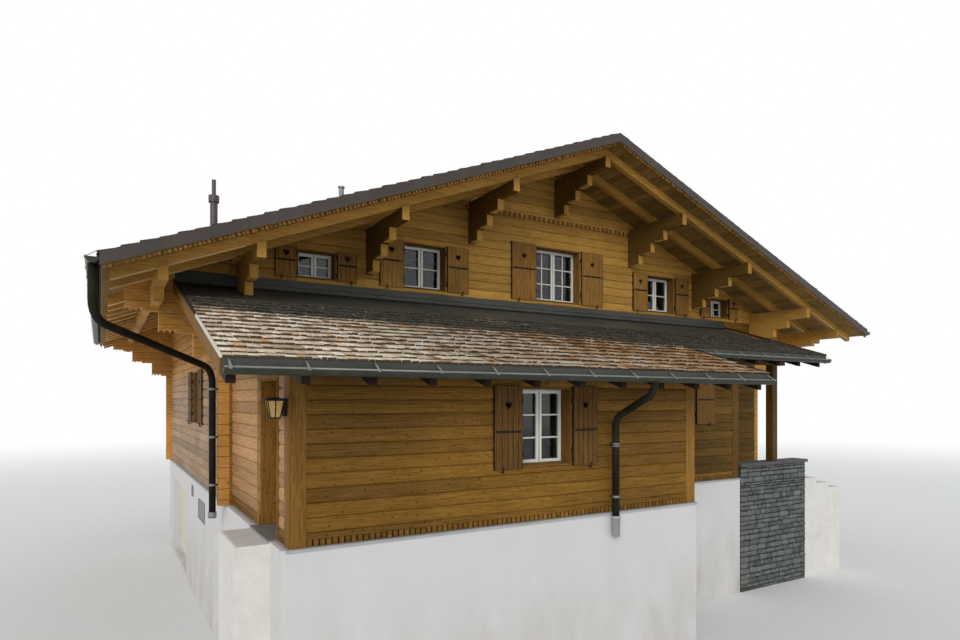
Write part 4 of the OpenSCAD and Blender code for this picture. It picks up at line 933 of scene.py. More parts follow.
def shingles(origin, across, down, width, run, first=0.0, thickness=0.023):
    """Wedges on a slope: corner = origin + a * across + b * down + c * normal, where c grows from
    the head to the foot, so that each course lies on the one below it."""
    normal = np.cross(across, down)
    normal *= np.sign(normal[2])
    starts, widths, feet = [], [], []
    for row in range(int(np.ceil((run - first) / SHOWN))):
        sizes = rng.uniform(0.06, 0.14, int(width / 0.085) + 4)
        edges = np.concatenate([[0.0], np.cumsum(sizes)])
        edges = edges[edges < width - 0.05]
        starts.append(edges)
        widths.append(np.diff(np.append(edges, width)))
        ragged = rng.uniform(-0.020, 0.020, len(edges))
        feet.append(np.minimum(run, first + (row + 1) * SHOWN + ragged))
    a, w, foot = np.concatenate(starts), np.concatenate(widths), np.concatenate(feet)
    n = len(a)
    head = np.maximum(foot - SHOWN - 0.045, 0.0)
    thick = thickness * rng.uniform(0.75, 1.25, n)
    twist = rng.uniform(-0.008, 0.008, n)
    gap = rng.uniform(0.001, 0.006, (2, n))
    none = np.zeros(n)
    corner_a = np.stack([a + gap[0], a + w - gap[1]] * 4, 1)
    corner_b = np.stack([head, head, foot + twist, foot - twist] * 2, 1)
    corner_c = np.stack([none, none, thick * 0.35, thick * 0.35,
                         none + 0.003, none + 0.003, thick * 1.35, thick * 1.35], 1)
    points = (origin + corner_a[..., None] * across + corner_b[..., None] * down
              + corner_c[..., None] * normal)
    upright = np.dot(np.cross(across, down), normal) > 0
    box = HEXAHEDRON[:, ::-1] if upright else HEXAHEDRON
    quads = np.arange(n)[:, None, None] * 8 + box
    shift = rng.uniform(0, 30, (n, 1, 2))
    grain = np.stack([corner_b, corner_a], -1)[:, box] + shift[:, None]
    tone = np.repeat(rng.uniform(0.02, 1.0, n)[:, None], 6, 1)
    tone[:, 3] = 0.0  # the foot of each shingle: dark end grain, darkened further as painted shade
    return points.reshape(-1, 3), quads.reshape(-1, 4), tone.ravel(), grain.reshape(-1, 4, 2)


print("faces of a shingle:", len(HEXAHEDRON))

# %% [markdown]
# ## Laying the four slopes
# Two slopes cover the house and two the lean-to, whose upper part lies under a metal apron. They
# could be one mesh with a sharp ridge. As four calls they differ only in where a slope starts,
# which way is down and how long it is. The lean-to's first course starts just under the apron's
# edge.

# %% Shingle roofs
cos_roof, cos_lean = 1 / np.hypot(1, ROOF_RISE), 1 / np.hypot(1, LEAN_RISE)
ROOF_DOWN = np.array([1, 0, -ROOF_RISE]) * cos_roof
LEAN_DOWN = np.array([0, -1, -LEAN_RISE]) * cos_lean
LEAN_LIFT = 0.045
right_slope, left_slope = [
    shingles(np.array([0, -VERGE, RIDGE]), Y, ROOF_DOWN * [side, 1, 1], ROOF_LENGTH,
             EAVE / cos_roof + 0.02, thickness=0.018)
    for side in (1, -1)]
annex_cover, porch_cover = [
    shingles(np.array([x0, 0, LEAN_TOP + LEAN_LIFT]), X, LEAN_DOWN, x1 - x0,
             -eave / cos_lean + 0.03, first=(APRON - 0.1) / cos_lean)
    for x0, x1, eave in ((LEAN_LEFT, LEAN_STEP, ANNEX_EAVE), (LEAN_STEP, LEAN_RIGHT, PORCH_EAVE))]
put("roof_shingles_right", right_slope, roof_shingles)
put("roof_shingles_left", left_slope, roof_shingles)
put("lean_to_shingles", together(annex_cover, porch_cover), lean_shingles)

# %% [markdown]
# ## Soffit boards
# Seen from below, the roof's overhangs show the boards that the battens are nailed to. They lie on
# the rafters and run parallel to the ridge, so from the front their joints run into the picture. A
# grooved finish on the slope's underside would do from afar. Narrow boards cost little more here,
# because the bars are there already, and one slope is the mirror image of the other.

# %% Boards under the overhangs
SOFFIT_PITCH = 0.145
ROOF_UNDER = np.cross(Y, ROOF_DOWN)


def soffit(x0, x1, y0, y1):
    """Boards on the roof's underside between two distances from the ridge, on both slopes."""
    count = max(1, round((x1 - x0) / SOFFIT_PITCH))
    x = x0 + np.arange(count) * (x1 - x0) / count
    start = np.stack([x, 0 * x + y0, roof_z(x) - ROOF_T], 1)
    width = (x1 - x0) / count / cos_roof
    section = board_section(width - 0.003, thick=0.014, edge=0.005, crown=0.001)
    right = carry(section, start, (y1 - y0) * Y, ROOF_DOWN, ROOF_UNDER)
    return together(right, mirrored(right))


put("soffit_boards", together(
    soffit(0.0, EAVE - 0.02, -VERGE + 0.01, -0.01),
    soffit(0.0, EAVE - 0.02, DEPTH + 0.01, DEPTH + VERGE - 0.01),
    soffit(SIDE + 0.02, EAVE - 0.02, 0.0, DEPTH)), soffit_wood)

# %% [markdown]
# ## Windows
# A window sits deep in the timber wall, so a board lines each side of its opening. Each half opens
# on its own: it has a sash of four bars over the frame, and thin glazing bars that divide the
# glass. A flat grid would look like a drawing on the pane. Bars with small cut-off corners show a
# bright edge and a shadow, and one outline serves for all of them, long or short.

# %% Bars and frames
def rounded_bar(width, depth, edge=0.003):
    """Outline of a bar: a rectangle about its own middle line, with its four corners cut off."""
    w, d = width / 2, depth / 2
    return np.array([(-w + edge, -d), (w - edge, -d), (w, -d + edge), (w, d - edge),
                     (w - edge, d), (-w + edge, d), (-w, d - edge), (-w, -d + edge)])


def frame_of_bars(centre, along, outward, w, h, bar, depth, edge=0.003):
    """Four bars round a rectangle w by h: two uprights, and two rails that run between them."""
    side = rounded_bar(bar, depth, edge)
    corners = [centre + s * (w - bar) / 2 * along - h / 2 * Z for s in (-1, 1)]
    uprights = carry(side, np.array(corners), h * Z, along, outward)
    rails = [centre - (w / 2 - bar) * along + s * (h - bar) / 2 * Z for s in (-1, 1)]
    return together(uprights, carry(side, np.array(rails), (w - 2 * bar) * along, Z, outward))


print("edges of a bar:", len(rounded_bar(0.03, 0.03)))

# %% [markdown]
# ## A window from the outside in
# Each piece of a window lies at its own depth behind the wall's face: first the sill and the
# lining, then the sash and the glazing bars. The depths could be read off the CAD frame's mesh,
# but a joiner's list of depths is easier to follow, so they are named once. A thin dark seam marks
# where the two halves meet.

# %% Linings, sashes, glazing bars and sills
FRAME_BAR, SASH_BAR, SASH_T, GLAZING_BAR = 0.062, 0.046, 0.034, 0.024
LINING_IN, SEAM_IN, SASH_IN, GLAZING_IN, SILL_IN = 0.091, 0.185, 0.199, 0.222, 0.07


def sash(middle, along, outward, pane_w, pane_h, across, up):
    """One half: four bars that overlap the pane's frame, and glazing bars at even steps."""
    bars = [frame_of_bars(middle - SASH_IN * outward, along, outward, pane_w + 0.054,
                          pane_h + 0.054, SASH_BAR, SASH_T)]
    glazing, bar = middle - GLAZING_IN * outward, rounded_bar(GLAZING_BAR, GLAZING_BAR)
    for i in range(1, up):
        at = glazing - pane_w / 2 * along + (i / up - 0.5) * pane_h * Z
        bars.append(carry(bar, at, pane_w * along, Z, outward))
    for i in range(1, across):
        at = glazing + (i / across - 0.5) * pane_w * along - pane_h / 2 * Z
        bars.append(carry(bar, at, pane_h * Z, along, outward))
    return bars


linings, sashes, sills, seams = [], [], [], []
for foot, along, outward, sill, w, h, across, up in WINDOWS:
    face = np.asarray(foot) + (sill + h / 2) * Z
    linings.append(frame_of_bars(face - LINING_IN * outward, along, outward, w + 0.002, h + 0.002,
                                 0.022, 0.218))
    pane_w, pane_h = (w - 3 * FRAME_BAR) / 2, h - 2 * FRAME_BAR
    for side in (-1, 1):
        middle = face + side * (pane_w + FRAME_BAR) / 2 * along
        sashes += sash(middle, along, outward, pane_w, pane_h, across, up)
    seams.append(carry(rounded_bar(0.008, 0.012, 0.001),
                       face - (h / 2 - 0.05) * Z - SEAM_IN * outward,
                       (h - 0.10) * Z, along, outward))
    lip = face - (h / 2 - 0.012) * Z - (w / 2 - 0.02) * along - SILL_IN * outward
    sills.append(carry(rounded_bar(0.23, 0.018, 0.004), lip, (w - 0.04) * along,
                       outward * 0.995 - 0.1 * Z, Z))
put("window_linings", together(*linings), door_trim)
put("window_sashes", together(*sashes), white_paint)
put("window_sills", together(*sills), door_trim)
put("sash_seams", together(*seams), door_trim)

# %% [markdown]
# ## Pipes with smooth bends
# The CAD model draws each downpipe as straight tubes that meet in short sleeves. The real pipe has
# smooth bends, so a curved tube takes its place. A curve object with a round bevel would do it,
# but its bends are harder to place. Here the corners of the route are rounded first, and a circle
# is then carried along it. Such a route lies in one plane, so the circle never twists.

# %% Rounded routes and tubes
def rounded(corners, reach, steps=7):
    """A route through corners: near each inner corner P, from A to B at the same reach from it, the
    point is (1 - t)^2 * A + 2 t (1 - t) * P + t^2 * B."""
    corners = np.asarray(corners, float)
    t = np.linspace(0, 1, steps)[:, None]
    route = [corners[:1]]
    for before, at, after in zip(corners[:-2], corners[1:-1], corners[2:]):
        a = at + (before - at) * reach / np.linalg.norm(before - at)
        b = at + (after - at) * reach / np.linalg.norm(after - at)
        route.append((1 - t) ** 2 * a + 2 * t * (1 - t) * at + t ** 2 * b)
    return np.concatenate(route + [corners[-1:]])


def tube(route, radius, sides=16):
    """A round bar: point = route + radius * (cos a * side + sin a * up), where side is square to
    the route's plane, and up is square to side and to the route's direction."""
    route = np.asarray(route, float)
    ahead = np.gradient(route, axis=0)
    ahead /= np.linalg.norm(ahead, axis=1)[:, None]
    bends = np.cross(ahead[:-1], ahead[1:])
    side = bends[np.argmax(np.linalg.norm(bends, axis=1))]
    if np.linalg.norm(side) < 1e-6:
        side = np.cross(ahead[0], X if abs(ahead[0, 0]) < 0.9 else Y)
    side = side / np.linalg.norm(side)
    up = np.cross(ahead, side)
    a = np.linspace(0, 2 * np.pi, sides, endpoint=False)[None, :, None]
    r = np.broadcast_to(np.asarray(radius, float), len(route))[:, None, None]
    points = route[:, None] + r * (np.cos(a) * side + np.sin(a) * up[:, None])
    quads = skin(sides, len(route))[0]
    run = np.concatenate([[0.0], np.cumsum(np.linalg.norm(np.diff(route, axis=0), axis=1))])
    around = np.abs(np.arange(sides) / sides - 0.5) * 2 * np.pi * float(np.max(radius))
    grain = np.stack(np.broadcast_arrays(run[:, None], around[None]), -1).reshape(-1, 2)[quads]
    return points.reshape(-1, 3), quads, np.full(len(quads), rng.random()), grain


print("points of a route with one bend:", len(rounded([(0, 0, 1), (0, 0, 0), (1, 0, 0)], 0.2)))

# %% [markdown]
# ## Three downpipes
# One pipe comes down at the front left corner, one at the rear right and one at the annex. Each
# leaves its gutter straight down, runs back under the roof to the wall, and then down to the
# plinth. The rear right pipe is the front left one turned about the house's middle, so it is
# worked out from it: x and y change sign, and the depth of the house is added to y.

# %% Downpipes
PIPE_R, PIPE_X, PIPE_Y, PIPE_FOOT = 0.055, 7.125, 0.09, 2.40
GUTTER_X, ANNEX_PIPE_X, ANNEX_PIPE_Y, STAND_FOOT = 8.825, -1.80, -3.875, 2.24
front_left = rounded([(-GUTTER_X, -1.90, 6.10), (-GUTTER_X, -1.90, 5.399),
                      (-PIPE_X, PIPE_Y, 4.889), (-PIPE_X, PIPE_Y, PIPE_FOOT)], 0.26)
rear_right = front_left * [-1, -1, 1] + [0, DEPTH, 0]
annex_pipe = rounded([(ANNEX_PIPE_X, -4.695, 4.63), (ANNEX_PIPE_X, -4.695, 4.473),
                      (ANNEX_PIPE_X, ANNEX_PIPE_Y, 4.093),
                      (ANNEX_PIPE_X, ANNEX_PIPE_Y, STAND_FOOT)], 0.14)
put("downpipe_curves", together(tube(front_left, PIPE_R), tube(rear_right, PIPE_R),
                                tube(annex_pipe, PIPE_R)), pipe_paint, smooth=True)
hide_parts("downpipes")

# %% [markdown]
# ## What holds the pipes
# A pipe hangs on its wall by clamps: a ring round the pipe, and an iron arm into the wall. At the
# foot it slips into a wider ring, or, at the annex, into a pale standpipe. All of them are the
# same tubes and bars, only short. The annex's upper clamp is a double one.

# %% Clamps, rings and standpipe
HOUSE_CLAMPS, ANNEX_CLAMPS = (2.95, 3.75, 4.55), (2.86, 3.66, 3.68)
clamps, rings = [], []
for foot, wall, heights in (((-PIPE_X, PIPE_Y), X, HOUSE_CLAMPS),
                            ((PIPE_X, DEPTH - PIPE_Y), -X, HOUSE_CLAMPS),
                            ((ANNEX_PIPE_X, ANNEX_PIPE_Y), Y, ANNEX_CLAMPS)):
    for z in heights:
        at = np.array([*foot, z])
        rings.append(tube([at - 0.02 * Z, at + 0.02 * Z], PIPE_R + 0.006))
        clamps.append(carry(rounded_bar(0.03, 0.012), at + 0.05 * wall, 0.13 * wall, Z,
                            np.cross(wall, Z)))
for foot in ((-PIPE_X, PIPE_Y, PIPE_FOOT), (PIPE_X, DEPTH - PIPE_Y, PIPE_FOOT)):
    rings.append(tube([foot, np.array(foot) + 0.10 * Z], PIPE_R + 0.012))
put("downpipe_clamps", together(*clamps), black_iron)
put("downpipe_rings", together(*rings), grey_sheet, smooth=True)
stand = [(ANNEX_PIPE_X, ANNEX_PIPE_Y, z) for z in (STAND_FOOT, 2.52, 2.52, 2.56)]
put("standpipe", tube(stand, PIPE_R + np.array([0.009, 0.009, 0.018, 0.018])), ledge_sheet,
    smooth=True)

# %% [markdown]
# ## Gutter beads, straps and clips
# A gutter's outer lip is rolled into a bright bead, and a strap at every rafter holds the trough.
# The trough itself is the CAD part. The bead could be part of it too, but as a piece of its own it
# gets a brighter metal. It is one long round bar a gutter, and each strap is a thin flat bar
# across the trough with a small clip folded over the bead.

# %% Gutter trim
BEAD_R, BEAD_OUT, STRAP_PITCH, END_GAP = 0.011, 0.072, 0.766, 0.06


def disc(radius, sides=8):
    """Outline of a round bar: (r cos a, r sin a)."""
    a = np.arange(sides) * 2 * np.pi / sides
    return np.stack([radius * np.cos(a), radius * np.sin(a)], 1)


beads, straps = [], []
for start, along, outward in [
        ((LEAN_LEFT, ANNEX_EAVE - 0.075, 4.698), (LEAN_STEP - LEAN_LEFT) * X, -Y),
        ((LEAN_STEP + 0.02, PORCH_EAVE - 0.075, 5.286), (LEAN_RIGHT - LEAN_STEP - 0.02) * X, -Y),
        ((-GUTTER_X, -VERGE, 6.17), ROOF_LENGTH * Y, -X),
        ((GUTTER_X, -VERGE, 6.17), ROOF_LENGTH * Y, X)]:
    length = np.linalg.norm(along)
    run = along / length
    beads.append(carry(disc(BEAD_R), np.array(start) + BEAD_OUT * outward, along, outward, Z))
    count = round(length / STRAP_PITCH)
    nth = (length - 2 * END_GAP) * np.arange(count + 1)[:, None] / count
    at = np.array(start) + (END_GAP + nth) * run
    straps.append(carry(rounded_bar(0.026, 0.006, 0.001), at - 0.058 * outward + 0.090 * Z,
                        0.125 * outward - 0.080 * Z, run, Z))
    straps.append(carry(rounded_bar(0.036, 0.034, 0.006), at + 0.066 * outward - 0.004 * Z,
                        0.024 * outward, run, Z))
drip = [carry(rounded_bar(0.105, 0.012, 0.003), (x0, eave - 0.014, z), (x1 - x0) * X, Z, -Y)
        for x0, x1, eave, z in ((LEAN_LEFT, LEAN_STEP, ANNEX_EAVE, 4.755),
                                (LEAN_STEP, LEAN_RIGHT, PORCH_EAVE, 5.343))]
put("drip_boards", together(*drip), roof_sheet)
put("gutter_beads", together(*beads), bead_metal, smooth=True)
put("gutter_straps", together(*straps), bead_metal)

# %% [markdown]
# ## Boards at the lean-to's edges
# A brown board closes each sloping edge of the lean-to. Above it runs a narrow cap, painted cream
# where the sun falls, on the lower part of the left edge, and black in the shade elsewhere: lit and
# shaded copies of one cap. A black bar along the upstand's foot paints the shadow line there. They
# could be laid flat and turned to the slope.
# It is shorter to carry a bar from one point of the slope to another, as the direction then comes
# by itself.

# %% Verge boards and caps of the lean-to
CAP_LIFT, CAP_W, CAP_D, SUNLIT_FROM = 0.059, 0.044, 0.024, -2.75


def on_slope(x, y0, y1, lift):
    """Start and direction of a line on the lean-to's slope, lifted off it by so much."""
    start = np.array([x, y0, lean_z(y0) + lift])
    return start, np.array([x, y1, lean_z(y1) + lift]) - start


edges = []
for x, y0, y1, side in ((LEAN_LEFT, -0.02, ANNEX_EAVE, -1), (LEAN_STEP, PORCH_EAVE, ANNEX_EAVE, 1),
                        (LEAN_RIGHT, -0.02, PORCH_EAVE, 1)):
    start, along = on_slope(x + side * 0.013, y0, y1, -0.054)
    edges.append(carry(rounded_bar(0.182, 0.024, 0.004), start, along, Z, side * X))
put("lean_to_verge_boards", together(*edges), trim_wood)
cap = rounded_bar(CAP_W, CAP_D, 0.006)
# cream: painted sunlight on the lower part of the left cap
start, along = on_slope(LEAN_LEFT - CAP_D / 2, SUNLIT_FROM, ANNEX_EAVE - 0.02, CAP_LIFT)
put("sunlit_verge_cap", carry(cap, start, along, Z, -X), cream_paint)
caps = []
# black: painted shade on the rest of the caps
for x, y0, y1 in ((LEAN_LEFT - CAP_D / 2, -0.02, SUNLIT_FROM),
                  (LEAN_STEP + CAP_D / 2, PORCH_EAVE, ANNEX_EAVE - 0.02),
                  (LEAN_RIGHT + CAP_D / 2, -0.02, PORCH_EAVE - 0.02)):
    start, along = on_slope(x, y0, y1, CAP_LIFT)
    caps.append(carry(cap, start, along, Z, X))
# a black bar along the upstand's foot: painted shadow line
caps.append(carry(rounded_bar(0.036, 0.030, 0.006), (LEAN_LEFT + 0.01, -0.045, LEAN_TOP + 0.012),
                  (LEAN_RIGHT - LEAN_LEFT - 0.02) * X, Z, -Y))
put("lean_to_edge_caps", together(*caps), black_iron)

# %% [markdown]
# ## Toothed boards over the plinth
# A row of small blocks hangs from a low board over the plinth, a common ornament on such houses.
# The teeth could be cut out of one board, which needs a hole for each gap. Here each tooth is a
# short bar, and one call makes the whole row, because the bars' starts are an array at an even
# pitch. A near-black strip behind the teeth is painted shadow in the gaps between them.

# %% Dentils
TOOTH_PITCH, TOOTH_W = 0.08, 0.056


def dentils(origin, along, outward, a, b):
    """Blocks at an even pitch, hanging from a low board on a wall's face, from a to b. Returns the
    blocks with their board, and the near-black strip of painted shadow behind them."""
    count = max(1, round((b - a) / TOOTH_PITCH))
    u = a + (np.arange(count) + 0.5) * (b - a) / count
    base, run = np.asarray(origin, float) + PLINTH * Z, (b - a) * along
    blocks = carry(rounded_bar(0.082, 0.022, 0.004),
                   base + (u[:, None] - TOOTH_W / 2) * along + 0.050 * Z + 0.012 * outward,
                   TOOTH_W * along, Z, outward)
    board = carry(rounded_bar(0.080, 0.024, 0.006),
                  base + a * along + 0.130 * Z + 0.012 * outward, run, Z, outward)
    # near-black strip behind the teeth: painted shadow in the gaps
    strip = carry(rounded_bar(0.084, 0.008, 0.001),
                  base + a * along + 0.046 * Z + 0.003 * outward, run, Z, outward)
    return together(blocks, board), strip


rows = [dentils((0, ANNEX_Y, 0), X, -Y, ANNEX_LEFT + CORNER, ANNEX_RIGHT - CORNER),
        dentils((0, RECESS_Y, 0), X, -Y, ANNEX_RIGHT, RECESS_RIGHT - CORNER),
        dentils((ANNEX_LEFT, 0, 0), Y, -X, ANNEX_Y + CORNER, DOOR_FRONT - 0.09),
        dentils((ANNEX_LEFT, 0, 0), Y, -X, DOOR_BACK + 0.09, 0.0)]
teeth, strips = zip(*rows)
put("plinth_dentils", together(*teeth), board_wood)
put("dentil_shadow_strips", together(*strips), shadow_trim)

# %% [markdown]
# ## The frieze in the gable
# A second toothed row hangs high in the gable, and its drops are pointed. They could be sawn from
# one board with a saw-toothed edge. As bars they stand free of the dark board behind them. Each
# one shrinks towards its foot: the outline goes down through three places, and the last one is
# smaller.

# %% Gable frieze
DROP_PITCH, FRIEZE_Z, FRIEZE_HALF = 0.13, 8.38, 2.36
drops_x = np.arange(-2.25, 2.26, DROP_PITCH)
drops_at = np.stack([drops_x, 0 * drops_x - 0.036, 0 * drops_x + FRIEZE_Z], 1)
drops = carry(rounded_bar(0.062, 0.03, 0.004), drops_at, -0.10 * Z, X, -Y,
              places=(0, 0.6, 1), sizes=(1, 1, 0.45))
beam = carry(rounded_bar(0.055, 0.036, 0.006), (-FRIEZE_HALF, -0.032, FRIEZE_Z + 0.015),
             2 * FRIEZE_HALF * X, Z, -Y)
put("gable_frieze", together(drops, beam), gable_wood)
put("frieze_shadow_board", carry(rounded_bar(0.105, 0.012, 0.003),
                                 (-FRIEZE_HALF + 0.02, -0.026, FRIEZE_Z - 0.055),
                                 (2 * FRIEZE_HALF - 0.04) * X, Z, -Y), door_trim)

# %% [markdown]
# ## Batten ends and rafter edges
# Under the metal of the verge shows a row of batten ends, never quite evenly spaced. At the eaves
# the rafters' lower edges get pale strips: a painted highlight where light catches those edges.
# Both could be left to a finish, but they are edges, and an edge in a finish looks flat from the
# side. So they are small bars on the slope of the roof.

# %% Batten ends and painted highlights on the rafters
tooth_x = np.arange(0.12, EAVE - 0.05, 0.062)
tooth_x = tooth_x + rng.uniform(-0.014, 0.014, len(tooth_x))
tooth = np.stack([tooth_x, 0 * tooth_x - VERGE + 0.03, roof_z(tooth_x) - ROOF_T - 0.040], 1)
ends = carry(rounded_bar(0.034, 0.055, 0.003), tooth, 0.036 * ROOF_DOWN, Y, ROOF_UNDER)
rear_ends = (ends[0] + (ROOF_LENGTH - 0.06) * Y, *ends[1:])
put("verge_batten_ends", together(ends, mirrored(ends), rear_ends, mirrored(rear_ends)), door_trim)

RAFTER_PITCH, RAFTERS_IN, RAFTER_DEEP = 0.7583, 6.92, 0.167
rafter_y = np.concatenate([[-1.65, -0.82], 0.34 + np.arange(1, 12) * RAFTER_PITCH, [10.60, 11.43]])
edge_z = roof_z(RAFTERS_IN) - ROOF_T - RAFTER_DEEP
edge = np.stack([0 * rafter_y + RAFTERS_IN, rafter_y + 0.003, 0 * rafter_y + edge_z], 1)
# pale strips: painted highlight on the rafters' lower edges
pale = carry(rounded_bar(0.016, 0.016, 0.003), edge, 1.70 * np.array([1, 0, -ROOF_RISE]), Y,
             ROOF_UNDER)
put("rafter_edge_highlights", together(pale, mirrored(pale)), highlight_wood)

# %% [markdown]
# ## Sheets that throw off the water
# Where the timber walls stand on the plinth, a bent pale sheet leads the rain over its edge, and a
# fold stiffens the upstand of the lean-to's flashing. The sheet's bent section is drawn as an
# outline and carried along each wall.

# %% Ledge sheets and the upstand's fold
LEDGE = np.array([(0.0, 0.007), (0.064, 0.001), (0.070, -0.004), (0.070, -0.030),
                  (0.065, -0.030), (0.065, -0.006), (0.060, -0.004), (0.0, 0.001)])
ledges = []
for start, along, outward in [
        ((-6.865, ANNEX_Y, PLINTH), 7.01 * X, -Y), ((ANNEX_LEFT, -3.80, PLINTH), 0.58 * Y, -X),
        ((ANNEX_LEFT, -2.06, PLINTH), 2.01 * Y, -X), ((ANNEX_RIGHT, -3.80, PLINTH), 1.93 * Y, X),
        ((ANNEX_RIGHT + 0.06, RECESS_Y, PLINTH), 3.60 * X, -Y),
        ((-SIDE, -0.05, PLINTH), 10.01 * Y, -X), ((SIDE, -0.05, PLINTH), 10.01 * Y, X),
        ((-SIDE - 0.06, DEPTH, PLINTH), 13.86 * X, Y)]:
    ledges.append(carry(LEDGE, start, along, outward, Z))
put("plinth_ledge_sheets", together(*ledges), ledge_sheet)
put("upstand_fold", carry(rounded_bar(0.016, 0.014, 0.003),
                          (LEAN_LEFT + 0.01, -0.016, LEAN_TOP + 0.11),
                          (LEAN_RIGHT - LEAN_LEFT - 0.02) * X, Z, -Y), roof_sheet)

# %% [markdown]
# ## Shutter ironwork
# Each shutter has a flat iron bar across it and blocks at its hinges. A near-black ledge behind
# its heart paints the shadow seen through the hole, and near-black strips on the long edges of the
# front and rear shutters paint the shadow beside them. A small bent stay at its foot keeps it open
# against the wall.
# The shutters are CAD parts, and their ironwork could be cut from them. As pieces of their own,
# bars and short bent tubes, they get their own metal, and follow each window's measures.

# %% Bars and stays on the shutters
bars, stays, heart_shadow_ledges, edge_shadows = [], [], [], []
for foot, along, outward, sill, w, h, _, _ in WINDOWS:
    face = np.asarray(foot) + sill * Z
    bar_height = (0.55 if sill == GABLE_SILL else 0.45) * h
    front_or_rear = outward[0] == 0
    for side in (-1, 1):
        inner = side * (w / 2 + 0.03 + 0.04 * w / 2)
        bars.append(carry(rounded_bar(0.032, 0.012, 0.002),
                          face + inner * along + bar_height * Z + 0.068 * outward,
                          side * 0.92 * w / 2 * along, Z, outward))
        for share in (0.17, 0.83):
            hinge = side * (w / 2 + 0.002) * along + share * h * Z + 0.034 * outward
            bars.append(carry(rounded_bar(0.085, 0.048, 0.006), face + hinge,
                              side * 0.052 * along, Z, outward))
        # near-black ledge behind the heart: painted shadow seen through the hole
        ledge = side * (w / 2 + 0.06) * along + 0.76 * h * Z + 0.023 * outward
        heart_shadow_ledges.append(carry(rounded_bar(0.20, 0.006, 0.001), face + ledge,
                             side * (w / 2 - 0.06) * along, Z, outward))
        # near-black strips on the long edges: painted shadow beside the shutter
        for reach in (w / 2 + 0.026, w + 0.034) if front_or_rear else ():
            edge_shadows.append(carry(rounded_bar(0.052, 0.012, 0.003),
                              face + side * reach * along - 0.02 * Z + 0.036 * outward,
                              (h + 0.04) * Z, outward, along))
        at = face + side * (w / 2 + 0.03 + 0.72 * w / 2) * along - 0.055 * Z
        hook = rounded([at, at + 0.078 * outward, at + 0.078 * outward + 0.07 * Z], 0.02, steps=4)
        stays.append(tube(hook, 0.010, sides=8))
put("shutter_bars", together(*bars), black_iron)
put("shutter_heart_shadows", together(*heart_shadow_ledges), shadow_trim)
put("shutter_edge_shadows", together(*edge_shadows), shadow_trim)
put("shutter_stays", together(*stays), black_iron, smooth=True)

# %% [markdown]
# ## Hearts
# A heart is cut through each shutter, a traditional shape. The hole is in the CAD part. A thin
# near-black ring laid round it is painted shade, which makes the dark heart look larger: two
# outlines of the same heart, a small and a larger one, at two depths, joined by four bands of
# quads.

# %% Painted shade round the hearts
HEART_R, HEART_REACH, HEART_LIFT = 0.0278, 1.3, 0.0025


def heart_outline(radius, steps=10):
    """A square on its corner with a half circle on each upper edge: the right half circle is
    r * (cos a + h, sin a + h) with h = sqrt(1/2), and the left one is its mirror image."""
    a = np.radians(np.linspace(-45, 135, steps + 1))
    right = radius * np.stack([np.cos(a) + 0.5 ** 0.5, np.sin(a) + 0.5 ** 0.5], 1)
    left = right[::-1] * [-1, 1]
    return np.concatenate([[(0.0, -radius * 2 ** 0.5)], right, left[1:]])


def heart_edge(centre, along, outward):
    """A flat ring round the hole: point = centre + size * (p * along + q * up) + depth * outward,
    from the hole's outline (size 1) to a larger one, and back underneath."""
    outline = heart_outline(HEART_R)
    ring = len(outline)
    flat = np.array([1, HEART_REACH, HEART_REACH, 1])[:, None, None] * outline
    depth = np.array([HEART_LIFT, HEART_LIFT, 0, 0])[:, None, None]
    points = centre + flat[..., :1] * along + flat[..., 1:] * Z + depth * outward
    k, j = np.meshgrid(np.arange(4), np.arange(ring), indexing="ij")
    k1, j1 = (k + 1) % 4, (j + 1) % ring
    quads = np.stack([k * ring + j, k1 * ring + j, k1 * ring + j1, k * ring + j1], -1)
    quads = quads.reshape(-1, 4)
    return points.reshape(-1, 3), quads, np.full(len(quads), 0.5), flat.reshape(-1, 2)[quads]


hearts = []
for foot, along, outward, sill, w, h, _, _ in WINDOWS:
    level = sill - 0.02 + 0.76 * (h + 0.04)
    for side in (-1, 1):
        middle = np.asarray(foot) + side * (0.75 * w + 0.03) * along + level * Z
        # near-black ring round the hole: painted shade
        hearts.append(heart_edge(middle + 0.064 * outward, along, outward))
put("heart_edges", together(*hearts), shadow_trim)

# %% [markdown]
# ## The entrance
# Smooth boards line the deep doorway, and plain boards frame it outside. They could be one frame,
# drawn and extruded. Single boards are closer to the joiner's work, and each gets its own grain.
# They stay clear of the leaf, which swings inwards.

# %% Doorway linings
LINING, ARCHITRAVE = rounded_bar(0.205, 0.016, 0.003), rounded_bar(0.085, 0.024, 0.004)
LINING_X, SILL_Z = -6.695, 2.63
jambs = []
for y, inward in ((DOOR_FRONT, 1), (DOOR_BACK, -1)):
    jambs.append(carry(LINING, (LINING_X, y + inward * 0.008, SILL_Z), 2.01 * Z, X, Y))
    jambs.append(carry(ARCHITRAVE, (-6.815, y - inward * 0.045, 2.61), 2.12 * Z, Y, X))
jambs.append(carry(LINING, (LINING_X, DOOR_FRONT + 0.01, 4.642), 1.08 * Y, X, Z))
jambs.append(carry(ARCHITRAVE, (-6.817, -3.277, 4.69), 1.274 * Y, Z, X))
for shift in (0.0, 0.035):
    jambs.append(carry(rounded_bar(0.014, 0.012, 0.003), (-6.832, -3.20 - shift, SILL_Z),
                       2.02 * Z, Y, X))
put("entrance_linings", together(*jambs), trim_wood)

# %% [markdown]
# ## The door's leaf
# The leaf has a frame of stiles and rails, six upright planks between them, and a lock rail near
# its middle. The grooves could be drawn by the leaf's finish, but real planks cast thin shadows.
# They stay well inside the leaf's edges, so that it swings clear. This is the only piece that
# rides on the door's body, so it turns with the leaf.

